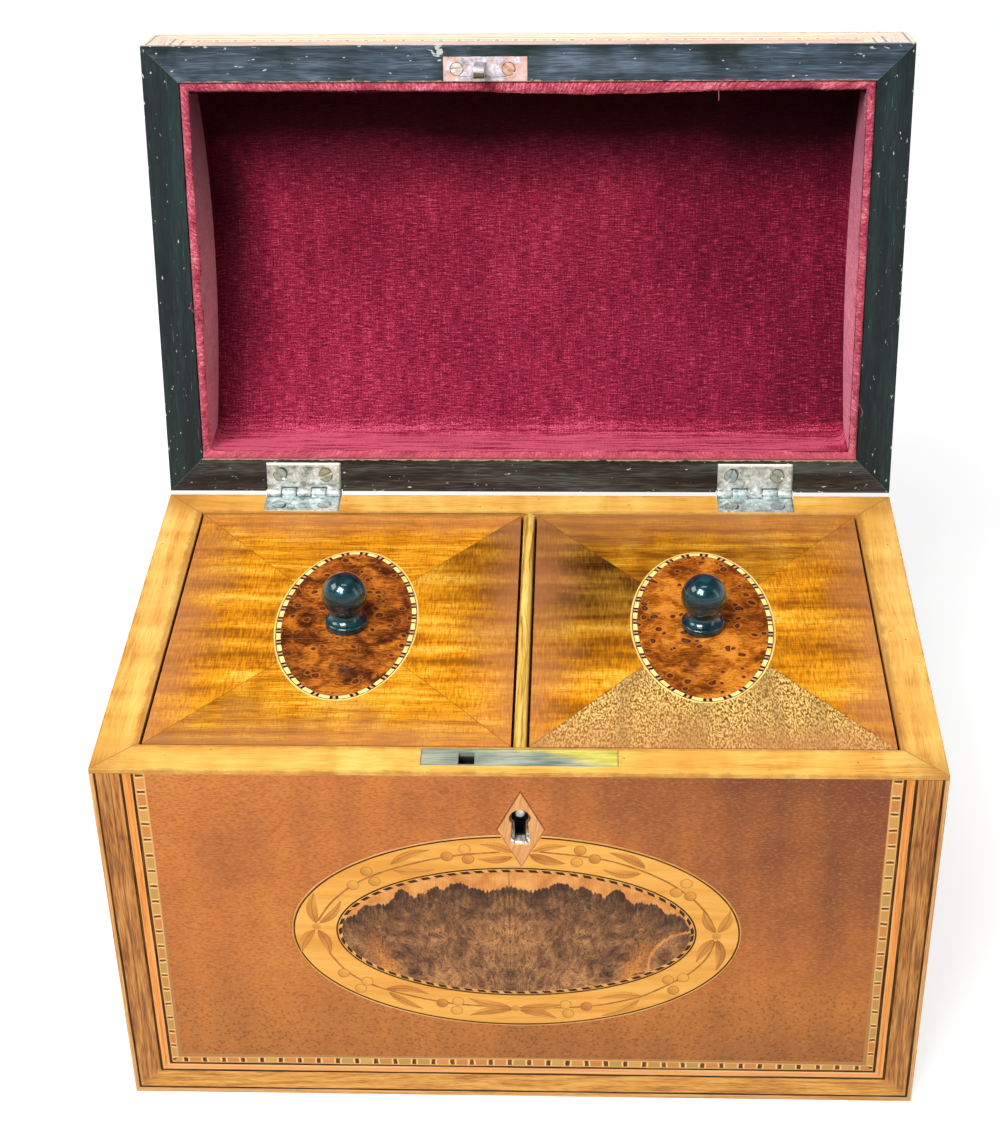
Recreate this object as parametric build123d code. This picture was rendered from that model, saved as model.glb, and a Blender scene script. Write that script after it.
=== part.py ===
"""Domed tea caddy of about 1790: two lidded tea compartments, marquetry front, hinged lid, box lock.

Units are mm. X runs along the front, Y from the front to the back, Z up from the underside of the
base. The lid is modelled shut and then swung open about its hinge pins, which is how it stands.
"""
import os
from math import acos, cos, pi, sin

from build123d import *

os.makedirs("parts", exist_ok=True)

# Outside sizes of the box
WIDTH, DEPTH = 190.0, 116.5
CASE_H = 101.4  # underside to rim
LID_SIDE_H = 18.0  # lid rim to the top edge, at the front and at the back
LID_RISE = 19.0  # how much higher the domed top stands at mid depth
LID_OPEN = 101.18  # degrees from shut to the hinge stop

# Stock
WALL = 9.0  # finished wall, outer veneer included
VENEER = 0.8
FACING = 1.2  # strip that caps the rim of the case and of the lid
BASE_T = 6.0
TOP_T = 6.0
LINER_T = 2.5  # thin boards that line a compartment and carry its lid
FOIL_T = 0.4
VELVET_T = 2.2
GAP = 0.3  # air between pieces that move past each other
PIN_GAP = 0.08  # radial play of a piece that turns on a pin

# Inner lids
INNER_T = 5.2
INNER_OVAL = (35.0, 63.5)
INNER_DROP = 0.3  # top of an inner lid below the rim
INNER_LIDS = {"left": (-84.6, -1.5, -42.7), "right": (2.7, 84.7, 43.5)}  # x from, x to, x of the knob
INNER_HALF_DEPTH = 48.6
DIVIDER_X, DIVIDER_T = 0.6, 3.0

# Marquetry on the front: centre x, centre z, width, height
RING = (-0.6, 53.7, 104.3, 59.3)
PANEL = (-0.6, 53.9, 82.5, 38.7)
DIAMOND = (0.9, 85.0, 10.8, 21.9)

# Stop hinges
HINGE_X = (-59.3, 59.7)
HINGE_W = 19.7
KNUCKLES = 5
KNUCKLE_R, PIN_R = 1.4, 0.6
HINGE_FRONT_Y = 50.3
HINGE_SCREW_Y = 53.2
HINGE_SCREW_DX = 5.8

# Lock, set in the front wall
LOCK_X = 0.6
KEY_X, KEY_Z = 0.7, 88.2
SLOT_X, SLOT_Y = -11.15, -53.3
BOLT_THROW = 3.5

# Levels and faces that follow from the sizes
half_w, half_d = WIDTH / 2, DEPTH / 2
core_w, core_d = half_w - VENEER, half_d - VENEER  # faces of the solid wood under the veneer
open_w, open_d = half_w - WALL, half_d - WALL  # edges of the opening
wall_top = CASE_H - FACING
lid_rim = CASE_H + GAP
lid_wall_z = lid_rim + FACING
hinge_y, hinge_z = half_d + 0.5, CASE_H + GAP / 2
crown = lid_rim + LID_SIDE_H + LID_RISE
dome_r = (half_d**2 + LID_RISE**2) / (2 * LID_RISE)
dome_z = crown - dome_r
ledge_z = CASE_H - INNER_DROP - VENEER - INNER_T  # underside of the inner lids

# Shared form helpers


def block(x, y, z):
    """Box between the limits given as pairs."""
    size = [hi - lo for lo, hi in (x, y, z)]
    return Pos(*[(lo + hi) / 2 for lo, hi in (x, y, z)]) * Box(*size)


def ring_block(outer_w, outer_d, inner_w, inner_d, z):
    """Rectangular frame round the Z axis, given by its half sizes."""
    outer = block((-outer_w, outer_w), (-outer_d, outer_d), z)
    return outer - block((-inner_w, inner_w), (-inner_d, inner_d), z)


def rod_x(radius, x, y, z):
    """Round bar along X."""
    return Pos(sum(x) / 2, y, z) * Rot(0, 90, 0) * Cylinder(radius, x[1] - x[0])


def rod_y(radius, x, y, z):
    """Round bar along Y."""
    return Pos(x, sum(y) / 2, z) * Rot(90, 0, 0) * Cylinder(radius, y[1] - y[0])


def plate_y(outline, y):
    """Flat plate: an outline drawn in X and Z, with its thickness between two Y levels."""
    return extrude(Plane.XZ.offset(-y[0]) * outline, -(y[1] - y[0]))


def oval(centre_x, centre_z, width, height):
    return Pos(centre_x, centre_z) * Ellipse(width / 2, height / 2)


def vault(radius):
    """Solid cylinder whose upper surface is the dome of the lid, or a layer below it."""
    return rod_x(radius, (-half_w - 5, half_w + 5), 0, dome_z)


def under_dome(x, y, z, radius):
    """Block that stands on z and ends above in the dome of the given radius."""
    return block(x, y, (z, crown + 1)) & vault(radius)


def countersunk(x, y, z, length, head_r, shank_r, down=True):
    """Wood screw without its slot, with its head flush with z and its shank drawn as one taper."""
    head = Pos(0, 0, -0.45) * Cone(shank_r + 0.1, head_r, 0.9)
    shank = Pos(0, 0, -(length + 0.9) / 2) * Cone(0.3, shank_r + 0.1, length - 0.9)
    screw = head + shank
    return Pos(x, y, z) * (screw if down else Rot(180, 0, 0) * screw)


def slotted(screw, x, y, z, angle):
    """The same screw with a driver slot across its head."""
    return screw - Pos(x, y, z) * Rot(0, 0, angle) * Box(5.0, 0.5, 0.8)


# Hinges: three knuckles on the lid's leaf, two on the case's leaf, one pin


def hinge_parts(xc):
    """Lower leaf, upper leaf and pin of the hinge centred on xc, with the lid shut."""
    pitch = HINGE_W / KNUCKLES
    left = xc - HINGE_W / 2
    span = (left, left + HINGE_W)
    lower = block(span, (HINGE_FRONT_Y, hinge_y), (wall_top, CASE_H))
    upper = block(span, (HINGE_FRONT_Y, hinge_y), (lid_rim, lid_wall_z))
    for i in range(KNUCKLES):
        own = (left + i * pitch + GAP / 2 * (i > 0), left + (i + 1) * pitch - GAP / 2 * (i < KNUCKLES - 1))
        cut = (left + i * pitch - GAP / 2, left + (i + 1) * pitch + GAP / 2)
        knuckle = rod_x(KNUCKLE_R, own, hinge_y, hinge_z)
        clear = rod_x(KNUCKLE_R + GAP, cut, hinge_y, hinge_z)
        clear += block(cut, (hinge_y - 0.5, hinge_y + 1), (wall_top - 1, lid_wall_z + 1))
        if i % 2:
            lower, upper = lower + knuckle, upper - clear
        else:
            lower, upper = lower - clear, upper + knuckle
    # The pin is tight in the lower knuckles and turns freely in the upper ones
    lower -= rod_x(PIN_R, span, hinge_y, hinge_z)
    upper -= rod_x(PIN_R + PIN_GAP, (span[0] - 1, span[1] + 1), hinge_y, hinge_z)
    pin = rod_x(PIN_R, span, hinge_y, hinge_z)
    return lower, upper, pin


def barrel_trough(xc):
    """Room for the round of the hinge in the back edges of the case and the lid."""
    reach = HINGE_W / 2 + GAP
    return rod_x(KNUCKLE_R + GAP + 0.05, (xc - reach, xc + reach), hinge_y, hinge_z)


hinges = {side: hinge_parts(xc) for side, xc in zip(("left", "right"), HINGE_X)}
troughs = [barrel_trough(xc) for xc in HINGE_X]
leaf_beds = [
    block((xc - HINGE_W / 2, xc + HINGE_W / 2), (HINGE_FRONT_Y, half_d + 1), (wall_top, lid_wall_z))
    for xc in HINGE_X
]

screw_spots = [(xc + dx, HINGE_SCREW_Y) for xc in HINGE_X for dx in (-HINGE_SCREW_DX, HINGE_SCREW_DX)]
slot_angles = (20, 75, -35, 50)
lower_blanks = [countersunk(x, y, CASE_H, 7.5, 1.65, 0.9) for x, y in screw_spots]
upper_blanks = [countersunk(x, y, lid_rim, 7.5, 1.65, 0.9, down=False) for x, y in screw_spots]
lower_screws = [
    slotted(s, x, y, CASE_H, a) for s, (x, y), a in zip(lower_blanks, screw_spots, slot_angles)
]
upper_screws = [
    slotted(s, x, y, lid_rim, a + 30) for s, (x, y), a in zip(upper_blanks, screw_spots, slot_angles)
]

# Lock: a shallow steel box behind the front, closed by a back plate, capped by the brass selvedge

lock_x = (LOCK_X - 20.0, LOCK_X + 20.0)
lock_y = (-55.75, -50.05)
lock_z = (72.0, wall_top)
ears_x = (LOCK_X - 24.0, LOCK_X + 24.0)
back_y = (lock_y[1], -open_d)
skin = 0.8

slot = block((SLOT_X - 1.8, SLOT_X + 1.8), (SLOT_Y - 2.1, SLOT_Y + 2.1), (wall_top - 2, CASE_H + 1))
keyhole_outline = Pos(KEY_X, KEY_Z) * Circle(2.0) + Pos(KEY_X, KEY_Z - 3.5) * Rectangle(2.6, 7.0)
keyhole = plate_y(keyhole_outline, (-half_d - 1, lock_y[0] + skin + 0.1))

lock_selvedge = block((LOCK_X - 22, LOCK_X + 22), (-55.9, -49.9), (wall_top, CASE_H)) - slot
lock_case = block(lock_x, lock_y, lock_z)
lock_case -= block(
    (lock_x[0] + skin, lock_x[1] - skin), (lock_y[0] + skin, lock_y[1]), (lock_z[0] + skin, lock_z[1] - skin)
)
lock_case -= slot + keyhole
lock_back_plate = block(ears_x, back_y, lock_z)

# Bolt: its nose goes through the eye of the lid's link, its talon is where the key pushes it
link_y = (-54.3, -51.5)
bolt_y = (-53.5, -52.3)
stump_x, stump_z = 9.0, 94.0
pivot_x, pivot_z = 16.0, 90.0
nose_x = SLOT_X + 1.3 + GAP + 0.05
bolt_z = (91.6, 96.6)
lock_bolt = block((-5.5, 13.5), bolt_y, bolt_z)
lock_bolt += block((nose_x, -5.5), bolt_y, (bolt_z[1] - 2.4, bolt_z[1]))
lock_bolt -= block((-1.2, 2.6), bolt_y, (bolt_z[0], 93.4))
bolt_slot = Pos(stump_x + BOLT_THROW / 2, stump_z) * SlotOverall(BOLT_THROW + 1.8, 1.6)
lock_bolt -= plate_y(bolt_slot, bolt_y)
nib_x = (-6.0, -4.8)
notch = (nib_x[0] + BOLT_THROW - GAP, nib_x[1] + BOLT_THROW + GAP)
lock_bolt -= block(notch, bolt_y, (bolt_z[1] - 1.2, bolt_z[1]))

# Pins: the drill pin that centres the key, the stump that guides the bolt, the tumbler's pivot
key_pin = rod_y(1.0, KEY_X, (-56.4, back_y[0]), KEY_Z)
bolt_stump = rod_y(0.5, stump_x, (lock_y[0] + skin, bolt_y[1]), stump_z)
tumbler_pin = rod_y(0.8, pivot_x, (-54.2, back_y[0]), pivot_z)

# Tumbler: a lever behind the bolt whose nib drops into the bolt's notch when it is locked
tumbler_y = (bolt_y[1] + GAP, -51.2)
lever = Polyline(
    (pivot_x, 92.2), (pivot_x, 87.8), (8.0, 91.4), (3.4, 91.8), (-2.6, 91.8), (-4.8, 92.6), (-6.0, 94.0),
    (-6.0, 98.1), (-4.8, 98.1), (-4.8, 95.4), (10.0, 95.4), close=True,
)
lever_face = make_face(lever) + Pos(pivot_x, pivot_z) * Circle(2.2)
lever_face -= Pos(pivot_x, pivot_z) * Circle(0.8 + PIN_GAP)
lock_tumbler = plate_y(lever_face, tumbler_y)
lock_tumbler += block(nib_x, (bolt_y[0], tumbler_y[0]), (bolt_z[1] + GAP, 98.1))

# Spring: a bent strip from the roof of the lock that presses the tumbler down
spring_line = Polyline(
    (13.5, lock_z[1] - skin), (13.5, lock_z[1] - skin - 0.4), (10.4, lock_z[1] - skin - 0.7),
    (1.0, 95.7), (0.9, 96.1), (10.2, lock_z[1] - skin), close=True,
)
lock_spring = plate_y(make_face(spring_line), (tumbler_y[0] + 0.1, tumbler_y[1] - 0.1))

lock_screw_spots = [(LOCK_X + dx, z) for dx in (-22.0, 22.0) for z in (78.0, 94.0)]
lock_blanks = [
    Pos(x, back_y[1], z) * Rot(-90, 0, 0) * countersunk(0, 0, 0, 6.5, 1.5, 0.8)
    for x, z in lock_screw_spots
]
for blank in lock_blanks:
    lock_back_plate -= blank

# Link plate in the lid's front rim, with the eye that the bolt enters
STRIKE_X, STRIKE_Y = (-20.3, 0.4), (-55.4, -49.4)
STRIKE_SCREWS = [(-17.0, -52.4), (-4.2, -52.4)]
strike_bed = block(STRIKE_X, STRIKE_Y, (lid_rim, lid_wall_z))
strike_plate = strike_bed
link = block((SLOT_X - 1.3, SLOT_X + 1.3), link_y, (92.6, lid_rim))
link = fillet(link.edges().filter_by(Axis.X).group_by(Axis.Z)[0], 0.9)
link_eye = (bolt_y[0] - GAP, bolt_y[1] + GAP)
link -= block((SLOT_X - 2, SLOT_X + 2), link_eye, (bolt_z[1] - 2.4 - 0.5, bolt_z[1] + 0.5))
strike_plate += link
strike_blanks = [countersunk(x, y, lid_rim, 8.0, 1.75, 1.0, down=False) for x, y in STRIKE_SCREWS]
strike_screws = [
    slotted(s, x, y, lid_rim, a) for s, (x, y), a in zip(strike_blanks, STRIKE_SCREWS, (85, 10))
]
for blank in strike_blanks:
    strike_plate -= blank

# Case: solid wood box on a base board

mortise = block(lock_x, (lock_y[0], -open_d), lock_z) + block(ears_x, back_y, lock_z)
tongue = 1.2  # the divider's ends are pointed and sit in grooves of this depth
divider_x = (DIVIDER_X - DIVIDER_T / 2, DIVIDER_X + DIVIDER_T / 2)
divider_plan = Polyline(
    (divider_x[0], -open_d), (DIVIDER_X, -open_d - tongue), (divider_x[1], -open_d),
    (divider_x[1], open_d), (DIVIDER_X, open_d + tongue), (divider_x[0], open_d), close=True,
)
divider_top = CASE_H - 0.1
divider_blank = extrude(Pos(0, 0, BASE_T) * make_face(divider_plan), divider_top - BASE_T)
crest = block(divider_x, (-half_d, half_d), (divider_top - DIVIDER_T / 2, divider_top + 1))
crest -= Pos(DIVIDER_X, 0, divider_top - DIVIDER_T / 2) * Rot(90, 0, 0) * Cylinder(DIVIDER_T / 2, DEPTH)

bottom_board = block((-core_w, core_w), (-core_d, core_d), (0, BASE_T))
front_wall = block((-core_w, core_w), (-core_d, -open_d), (BASE_T, wall_top))
back_wall = block((-core_w, core_w), (open_d, core_d), (BASE_T, wall_top))
left_wall = block((-core_w, -open_w), (-open_d, open_d), (BASE_T, wall_top))
right_wall = block((open_w, core_w), (-open_d, open_d), (BASE_T, wall_top))
front_wall -= mortise + keyhole + divider_blank
back_wall -= divider_blank
for blank in lock_blanks:
    front_wall -= blank

divider = divider_blank - crest - mortise - lock_selvedge
case_rim_facing = ring_block(half_w, half_d, open_w, open_d, (wall_top, CASE_H))
case_rim_facing -= divider_blank + block((LOCK_X - 22, LOCK_X + 22), (-55.9, -49.9), (wall_top, CASE_H))

# Veneers, with the marquetry let into the one on the front
front_face = (-half_d, -core_d)
diamond_outline = Pos(DIAMOND[0], DIAMOND[1]) * make_face(
    Polyline(
        (0, -DIAMOND[3] / 2), (DIAMOND[2] / 2, 0), (0, DIAMOND[3] / 2), (-DIAMOND[2] / 2, 0), close=True
    )
)
diamond_blank = plate_y(diamond_outline, front_face)
ring_blank = plate_y(oval(*RING), front_face)
panel_blank = plate_y(oval(*PANEL), front_face)
front_veneer = block((-half_w, half_w), front_face, (0, wall_top)) - ring_blank - diamond_blank
front_oval_ring = ring_blank - panel_blank - diamond_blank
front_oval_panel = panel_blank - diamond_blank
escutcheon = diamond_blank - keyhole
back_veneer = block((-half_w, half_w), (core_d, half_d), (0, wall_top))
left_veneer = block((-half_w, -core_w), (-core_d, core_d), (0, wall_top))
right_veneer = block((core_w, half_w), (-core_d, core_d), (0, wall_top))

for trough, bed in zip(troughs, leaf_beds):
    case_rim_facing -= trough + bed
    back_wall -= trough
    back_veneer -= trough
for blank in lower_blanks:
    back_wall -= blank

# Compartments: thin boards whose upper edges carry the inner lids, then a tin box in each
liners, foils = {}, {}
for side, (x0, x1) in {"left": (-open_w, divider_x[0]), "right": (divider_x[1], open_w)}.items():
    top = ledge_z - GAP
    inner = (x0 + LINER_T, x1 - LINER_T), (-open_d + LINER_T, open_d - LINER_T)
    tin = [(lo + FOIL_T, hi - FOIL_T) for lo, hi in inner]
    liners[side] = block((x0, x1), (-open_d, open_d), (BASE_T, top)) - block(*inner, (BASE_T, top))
    foils[side] = block(*inner, (BASE_T, top - 1)) - block(*tin, (BASE_T + FOIL_T, top - 1))

# Inner lids: board, quartered veneer with an oval let in, turned knob


def knob_profile():
    """Half section of the turned knob on its collar at height 0: the curves are short straight runs."""
    ball_z, ball_r, neck_r = 9.1, 5.35, 3.3
    neck_angle = -acos(neck_r / ball_r)
    steps = 9
    turns = [neck_angle + (pi / 2 - neck_angle) * i / steps for i in range(steps)]
    ball = [(ball_r * cos(a), ball_z + ball_r * sin(a)) for a in turns]
    foot = [(0, -4.0), (2.2, -4.0), (2.2, 0), (5.0, 0), (5.25, 0.7), (5.0, 1.4)]
    waist = [(4.15, 1.95), (3.6, 2.75), (3.35, 3.7)]
    return make_face(Polyline(*foot, *waist, *ball, (0, ball_z + ball_r), close=True))


inner = {}
for side, (x0, x1, knob_x) in INNER_LIDS.items():
    y = (-INNER_HALF_DEPTH, INNER_HALF_DEPTH)
    board_top = ledge_z + INNER_T
    board = block((x0, x1), y, (ledge_z, board_top))
    leaf = block((x0, x1), y, (board_top, board_top + VENEER))
    medallion = extrude(Pos(knob_x, -0.3, board_top) * Ellipse(*[d / 2 for d in INNER_OVAL]), VENEER)
    turned = Pos(knob_x, -1.2, board_top + VENEER) * revolve(Plane.XZ * knob_profile(), Axis.Z)
    inner[side] = {
        "board": board - turned,
        "veneer": leaf - medallion,
        "oval": medallion - turned,
        "knob": turned,
    }

# Lid: four walls under a domed board, veneered outside and lined with velvet

board_r = dome_r - VENEER
lining_r = board_r - TOP_T
lid_front_wall = under_dome((-core_w, core_w), (-core_d, -open_d), lid_wall_z, lining_r)
lid_back_wall = under_dome((-core_w, core_w), (open_d, core_d), lid_wall_z, lining_r)
lid_left_wall = under_dome((-core_w, -open_w), (-open_d, open_d), lid_wall_z, lining_r)
lid_right_wall = under_dome((open_w, core_w), (-open_d, open_d), lid_wall_z, lining_r)
lid_top_board = under_dome((-core_w, core_w), (-core_d, core_d), lid_rim, board_r) - vault(lining_r)
lid_top_veneer = under_dome((-half_w, half_w), (-half_d, half_d), lid_rim, dome_r) - vault(board_r)
lid_front_veneer = under_dome((-half_w, half_w), (-half_d, -core_d), lid_wall_z, board_r)
lid_back_veneer = under_dome((-half_w, half_w), (core_d, half_d), lid_wall_z, board_r)
lid_left_veneer = under_dome((-half_w, -core_w), (-core_d, core_d), lid_wall_z, board_r)
lid_right_veneer = under_dome((core_w, half_w), (-core_d, core_d), lid_wall_z, board_r)
lid_rim_facing = ring_block(half_w, half_d, open_w, open_d, (lid_rim, lid_wall_z)) - strike_bed

velvet_z = lid_rim + 0.2
velvet_w, velvet_d = open_w - VELVET_T, open_d - VELVET_T
velvet_lining = under_dome((-open_w, open_w), (-open_d, open_d), velvet_z, lining_r)
velvet_lining -= under_dome((-velvet_w, velvet_w), (-velvet_d, velvet_d), lid_rim, lining_r - VELVET_T)

for trough, bed in zip(troughs, leaf_beds):
    lid_rim_facing -= trough + bed
    lid_back_wall -= trough
    lid_back_veneer -= trough
for blank in upper_blanks:
    lid_back_wall -= blank
for blank in strike_blanks:
    lid_front_wall -= blank

for side in hinges:
    lower, upper, pin = hinges[side]
    for blank in lower_blanks:
        lower -= blank
    for blank in upper_blanks:
        upper -= blank
    hinges[side] = (lower, upper, pin)

# What belongs to the case, what swings with the lid, and the export of every piece

case_nodes = {
    "bottom_board": bottom_board,
    "front_wall": front_wall,
    "back_wall": back_wall,
    "left_wall": left_wall,
    "right_wall": right_wall,
    "front_veneer": front_veneer,
    "back_veneer": back_veneer,
    "left_veneer": left_veneer,
    "right_veneer": right_veneer,
    "front_oval_ring": front_oval_ring,
    "front_oval_panel": front_oval_panel,
    "escutcheon": escutcheon,
    "case_rim_facing": case_rim_facing,
    "divider": divider,
    "left_compartment_lining": liners["left"],
    "right_compartment_lining": liners["right"],
    "left_tin_box": foils["left"],
    "right_tin_box": foils["right"],
    "lock_selvedge": lock_selvedge,
    "lock_case": lock_case,
    "lock_back_plate": lock_back_plate,
    "lock_key_pin": key_pin,
    "lock_bolt_stump": bolt_stump,
    "lock_tumbler_pin": tumbler_pin,
    "lock_spring": lock_spring,
    "lock_screws": Compound(lock_blanks),
    "lock_bolt": lock_bolt,
    "lock_tumbler": lock_tumbler,
    "left_hinge_lower_leaf": hinges["left"][0],
    "right_hinge_lower_leaf": hinges["right"][0],
    "left_hinge_pin": hinges["left"][2],
    "right_hinge_pin": hinges["right"][2],
    "hinge_lower_screws": Compound(lower_screws),
}
for side, pieces in inner.items():
    for name, solid in pieces.items():
        case_nodes[f"{side}_inner_lid_{name}"] = solid

lid_nodes = {
    "lid_front_wall": lid_front_wall,
    "lid_back_wall": lid_back_wall,
    "lid_left_wall": lid_left_wall,
    "lid_right_wall": lid_right_wall,
    "lid_top_board": lid_top_board,
    "lid_top_veneer": lid_top_veneer,
    "lid_front_veneer": lid_front_veneer,
    "lid_back_veneer": lid_back_veneer,
    "lid_left_veneer": lid_left_veneer,
    "lid_right_veneer": lid_right_veneer,
    "lid_rim_facing": lid_rim_facing,
    "velvet_lining": velvet_lining,
    "strike_plate": strike_plate,
    "strike_screws": Compound(strike_screws),
    "left_hinge_upper_leaf": hinges["left"][1],
    "right_hinge_upper_leaf": hinges["right"][1],
    "hinge_upper_screws": Compound(upper_screws),
}

hinge_axis = Axis((0, hinge_y, hinge_z), (-1, 0, 0))
for name, solid in lid_nodes.items():
    export_step(solid.rotate(hinge_axis, LID_OPEN), f"parts/{name}.step")
for name, solid in case_nodes.items():
    export_step(solid, f"parts/{name}.step")
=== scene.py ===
# %% [markdown]
# # A domed tea caddy with marquetry, standing open
#
# The real box was made about 1790: a plain wooden carcass covered with thin sheets of fine wood (veneer),
# lines and bands let into them (stringing and banding), an oval picture in coloured woods (marquetry), brass
# and steel fittings, and a velvet lining in the lid. This lesson adds what a solid model doesn't hold: the
# inlay, the garland, the cloth, the polish and the wear.

# %% Load the frame
from functools import partial
from math import asin, cos, radians, sin

import bpy
import numpy as np
from mathutils import Matrix, Vector


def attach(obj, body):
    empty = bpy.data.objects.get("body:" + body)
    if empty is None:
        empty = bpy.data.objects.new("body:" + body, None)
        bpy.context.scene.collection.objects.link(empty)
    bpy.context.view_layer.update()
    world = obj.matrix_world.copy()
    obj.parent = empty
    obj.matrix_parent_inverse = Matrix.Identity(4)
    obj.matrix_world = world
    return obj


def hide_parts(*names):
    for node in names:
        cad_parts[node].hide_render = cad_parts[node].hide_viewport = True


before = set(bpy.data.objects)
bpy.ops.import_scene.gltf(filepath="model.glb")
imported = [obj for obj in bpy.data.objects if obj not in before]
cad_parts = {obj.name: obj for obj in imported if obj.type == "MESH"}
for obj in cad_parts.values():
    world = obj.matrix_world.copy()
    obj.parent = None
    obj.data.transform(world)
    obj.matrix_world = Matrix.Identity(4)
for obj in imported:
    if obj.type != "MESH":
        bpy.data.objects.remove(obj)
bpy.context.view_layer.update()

# %% [markdown]
# ## Sizes
#
# Everything is thought of in millimetres and turned into Blender's metres at the last moment. The lid is
# described shut, because that is how its shape is simple, and then swung open about its hinge pin. One small
# function does that for any array of points.

# %% Sizes of the box, in mm, and the swing of the lid
MM = 0.001
HALF_W, HALF_D = 95.0, 58.25
CASE_TOP = 101.4
LID_RIM = 101.7
FACING = 1.2
HINGE_Y, HINGE_Z = 58.75, 101.55
LID_OPEN = radians(101.18)
DOME_R, DOME_Z = 98.791, 39.909  # radius and height of the axis of the domed top
INNER_TOP = 101.1


def swing(points):
    """Turn points of the shut lid about the hinge pin by the opening angle: y and z rotate, x stays."""
    y, z = points[..., 1] - HINGE_Y, points[..., 2] - HINGE_Z
    c, s = cos(LID_OPEN), sin(LID_OPEN)
    return np.stack([points[..., 0], HINGE_Y + c * y + s * z, HINGE_Z - s * y + c * z], -1)


top_edge = swing(np.array([0.0, -HALF_D, LID_RIM]))
print("front edge of the lid's rim, open:", np.round(top_edge, 1))

# %% [markdown]
# ## The camera
#
# A photograph can be matched by working backwards: the corners of the case and of the lid are known points,
# and where they fall in the picture fixes the camera. It stands a little over half a metre away, looks down by
# 33 degrees, and is turned and tilted by a degree or two, as a hand-held camera is.

# %% Camera
YAW, PITCH, ROLL = radians(-2.51), radians(33.37), radians(-1.12)
forward = Vector((sin(YAW) * cos(PITCH), cos(YAW) * cos(PITCH), -sin(PITCH)))
level = Vector((cos(YAW), -sin(YAW), 0))
upright = level.cross(forward)
right = level * cos(ROLL) + upright * sin(ROLL)
up = upright * cos(ROLL) - level * sin(ROLL)

camera_data = bpy.data.cameras.new("camera")
camera_data.lens, camera_data.sensor_width = 70.14, 36.0
camera_data.clip_start, camera_data.clip_end = 0.01, 20
camera = bpy.data.objects.new("camera", camera_data)
bpy.context.scene.collection.objects.link(camera)
axes = Matrix((right, up, -forward)).transposed().to_4x4()
camera.matrix_world = Matrix.Translation(Vector((14.0, -437.6, 406.2)) * MM) @ axes
bpy.context.scene.camera = camera
print("camera at", [round(v, 3) for v in camera.location])

# %% [markdown]
# ## Colours and nodes
#
# Colours are easiest to read as the hex values of a paint chart, but light adds up in linear numbers, so one
# function turns the first into the second. A second small function adds any shader node: it sets the node's
# options, fills its inputs with numbers, colours or links, and hands back the output to use next. So a sum of two
# numbers is n("ADD", a, b), and a blend of two colours is n("Mix RGBA", share, from, to).


# %% Two small tools for materials
def linear(hex_colour):
    """sRGB hex to linear RGBA: each channel is undone from the sRGB curve."""
    value = np.array([int(hex_colour[i : i + 2], 16) for i in (1, 3, 5)]) / 255
    value = np.where(value <= 0.04045, value / 12.92, ((value + 0.055) / 1.055) ** 2.4)
    return (*value.tolist(), 1.0)


MODE = {"Math": "operation", "VectorMath": "operation", "Mix": "data_type", "VectorRotate": "rotation_type"}


def put(tree, kind, *values, out=0, stops=None, **more):
    """Add one node: its kind and mode, then what its inputs take, in order; stops are the colours of a ramp.

    Any other word names an input if it starts with a capital, and one of the node's settings if it doesn't.
    out names the output that is wanted, or a list of them, where it isn't the first.
    """
    kind, _, mode = kind.partition(" ")
    if kind.isupper():
        kind, mode = "Math", kind
    node = tree.nodes.new("ShaderNode" + kind)
    if mode:
        setattr(node, MODE[kind], mode)
    for name, value in more.items():
        if name[0].islower():
            setattr(node, name, value)
    inputs = list(zip([socket for socket in node.inputs if socket.enabled], values))
    inputs += [(node.inputs[name], value) for name, value in more.items() if name[0].isupper()]
    for socket, value in inputs:
        if isinstance(value, bpy.types.NodeSocket):
            tree.links.new(value, socket)
        else:
            socket.default_value = linear(value) if isinstance(value, str) else value
    if stops:
        ramp = node.color_ramp.elements
        while len(ramp) < len(stops):
            ramp.new(0.5)
        for element, (position, hex_colour) in zip(ramp, stops):
            element.position, element.color = position, linear(hex_colour)
    if isinstance(out, list):
        return [node.outputs[name] for name in out]
    return node.outputs[out] if out else next(socket for socket in node.outputs if socket.enabled)


# %% [markdown]
# A finish starts from Blender's general surface, the Principled shader. What is the same all over is set on its
# own sockets. What changes over the surface comes in as links: the colour, the gloss, and a height for bumps.
# Patterns are laid out in millimetres: Object coordinates are metres, so they are multiplied by 1000, and on
# the lid they are first turned back to where they would be with the lid shut.


# %% Start a finish, and measure places in millimetres
def new_finish(name, **constants):
    """A material with a Principled shader; constants go on that shader's own sockets."""
    material = bpy.data.materials.new(name)
    material.use_nodes = True
    shader = material.node_tree.nodes["Principled BSDF"]
    for key, value in constants.items():
        socket = shader.inputs[key.replace("_", " ")]
        socket.default_value = linear(value) if isinstance(value, str) else value
    return material, partial(put, material.node_tree)


def wire(material, colour=None, roughness=None, metal=None, height=None, depth=0.05):
    """Link colour, roughness, metalness and a height in 0 to 1, which stands for depth in mm."""
    tree = material.node_tree
    shader = tree.nodes["Principled BSDF"]
    for key, socket in (("Base Color", colour), ("Roughness", roughness), ("Metallic", metal)):
        if socket is not None:
            tree.links.new(socket, shader.inputs[key])
    if height is not None:
        bump = put(tree, "Bump", Height=height, Distance=depth * MM, Strength=1.0)
        tree.links.new(bump, shader.inputs["Normal"])


def place_mm(n, lid=False):
    """Object coordinates in mm, with the lid turned back about its hinge pin to where it is shut."""
    place = n("TexCoord", out="Object")
    if lid:
        place = n("VectorRotate X_AXIS", place, Center=(0, HINGE_Y * MM, HINGE_Z * MM), Angle=LID_OPEN)
    return n("VectorMath SCALE", place, Scale=1 / MM)


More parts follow.
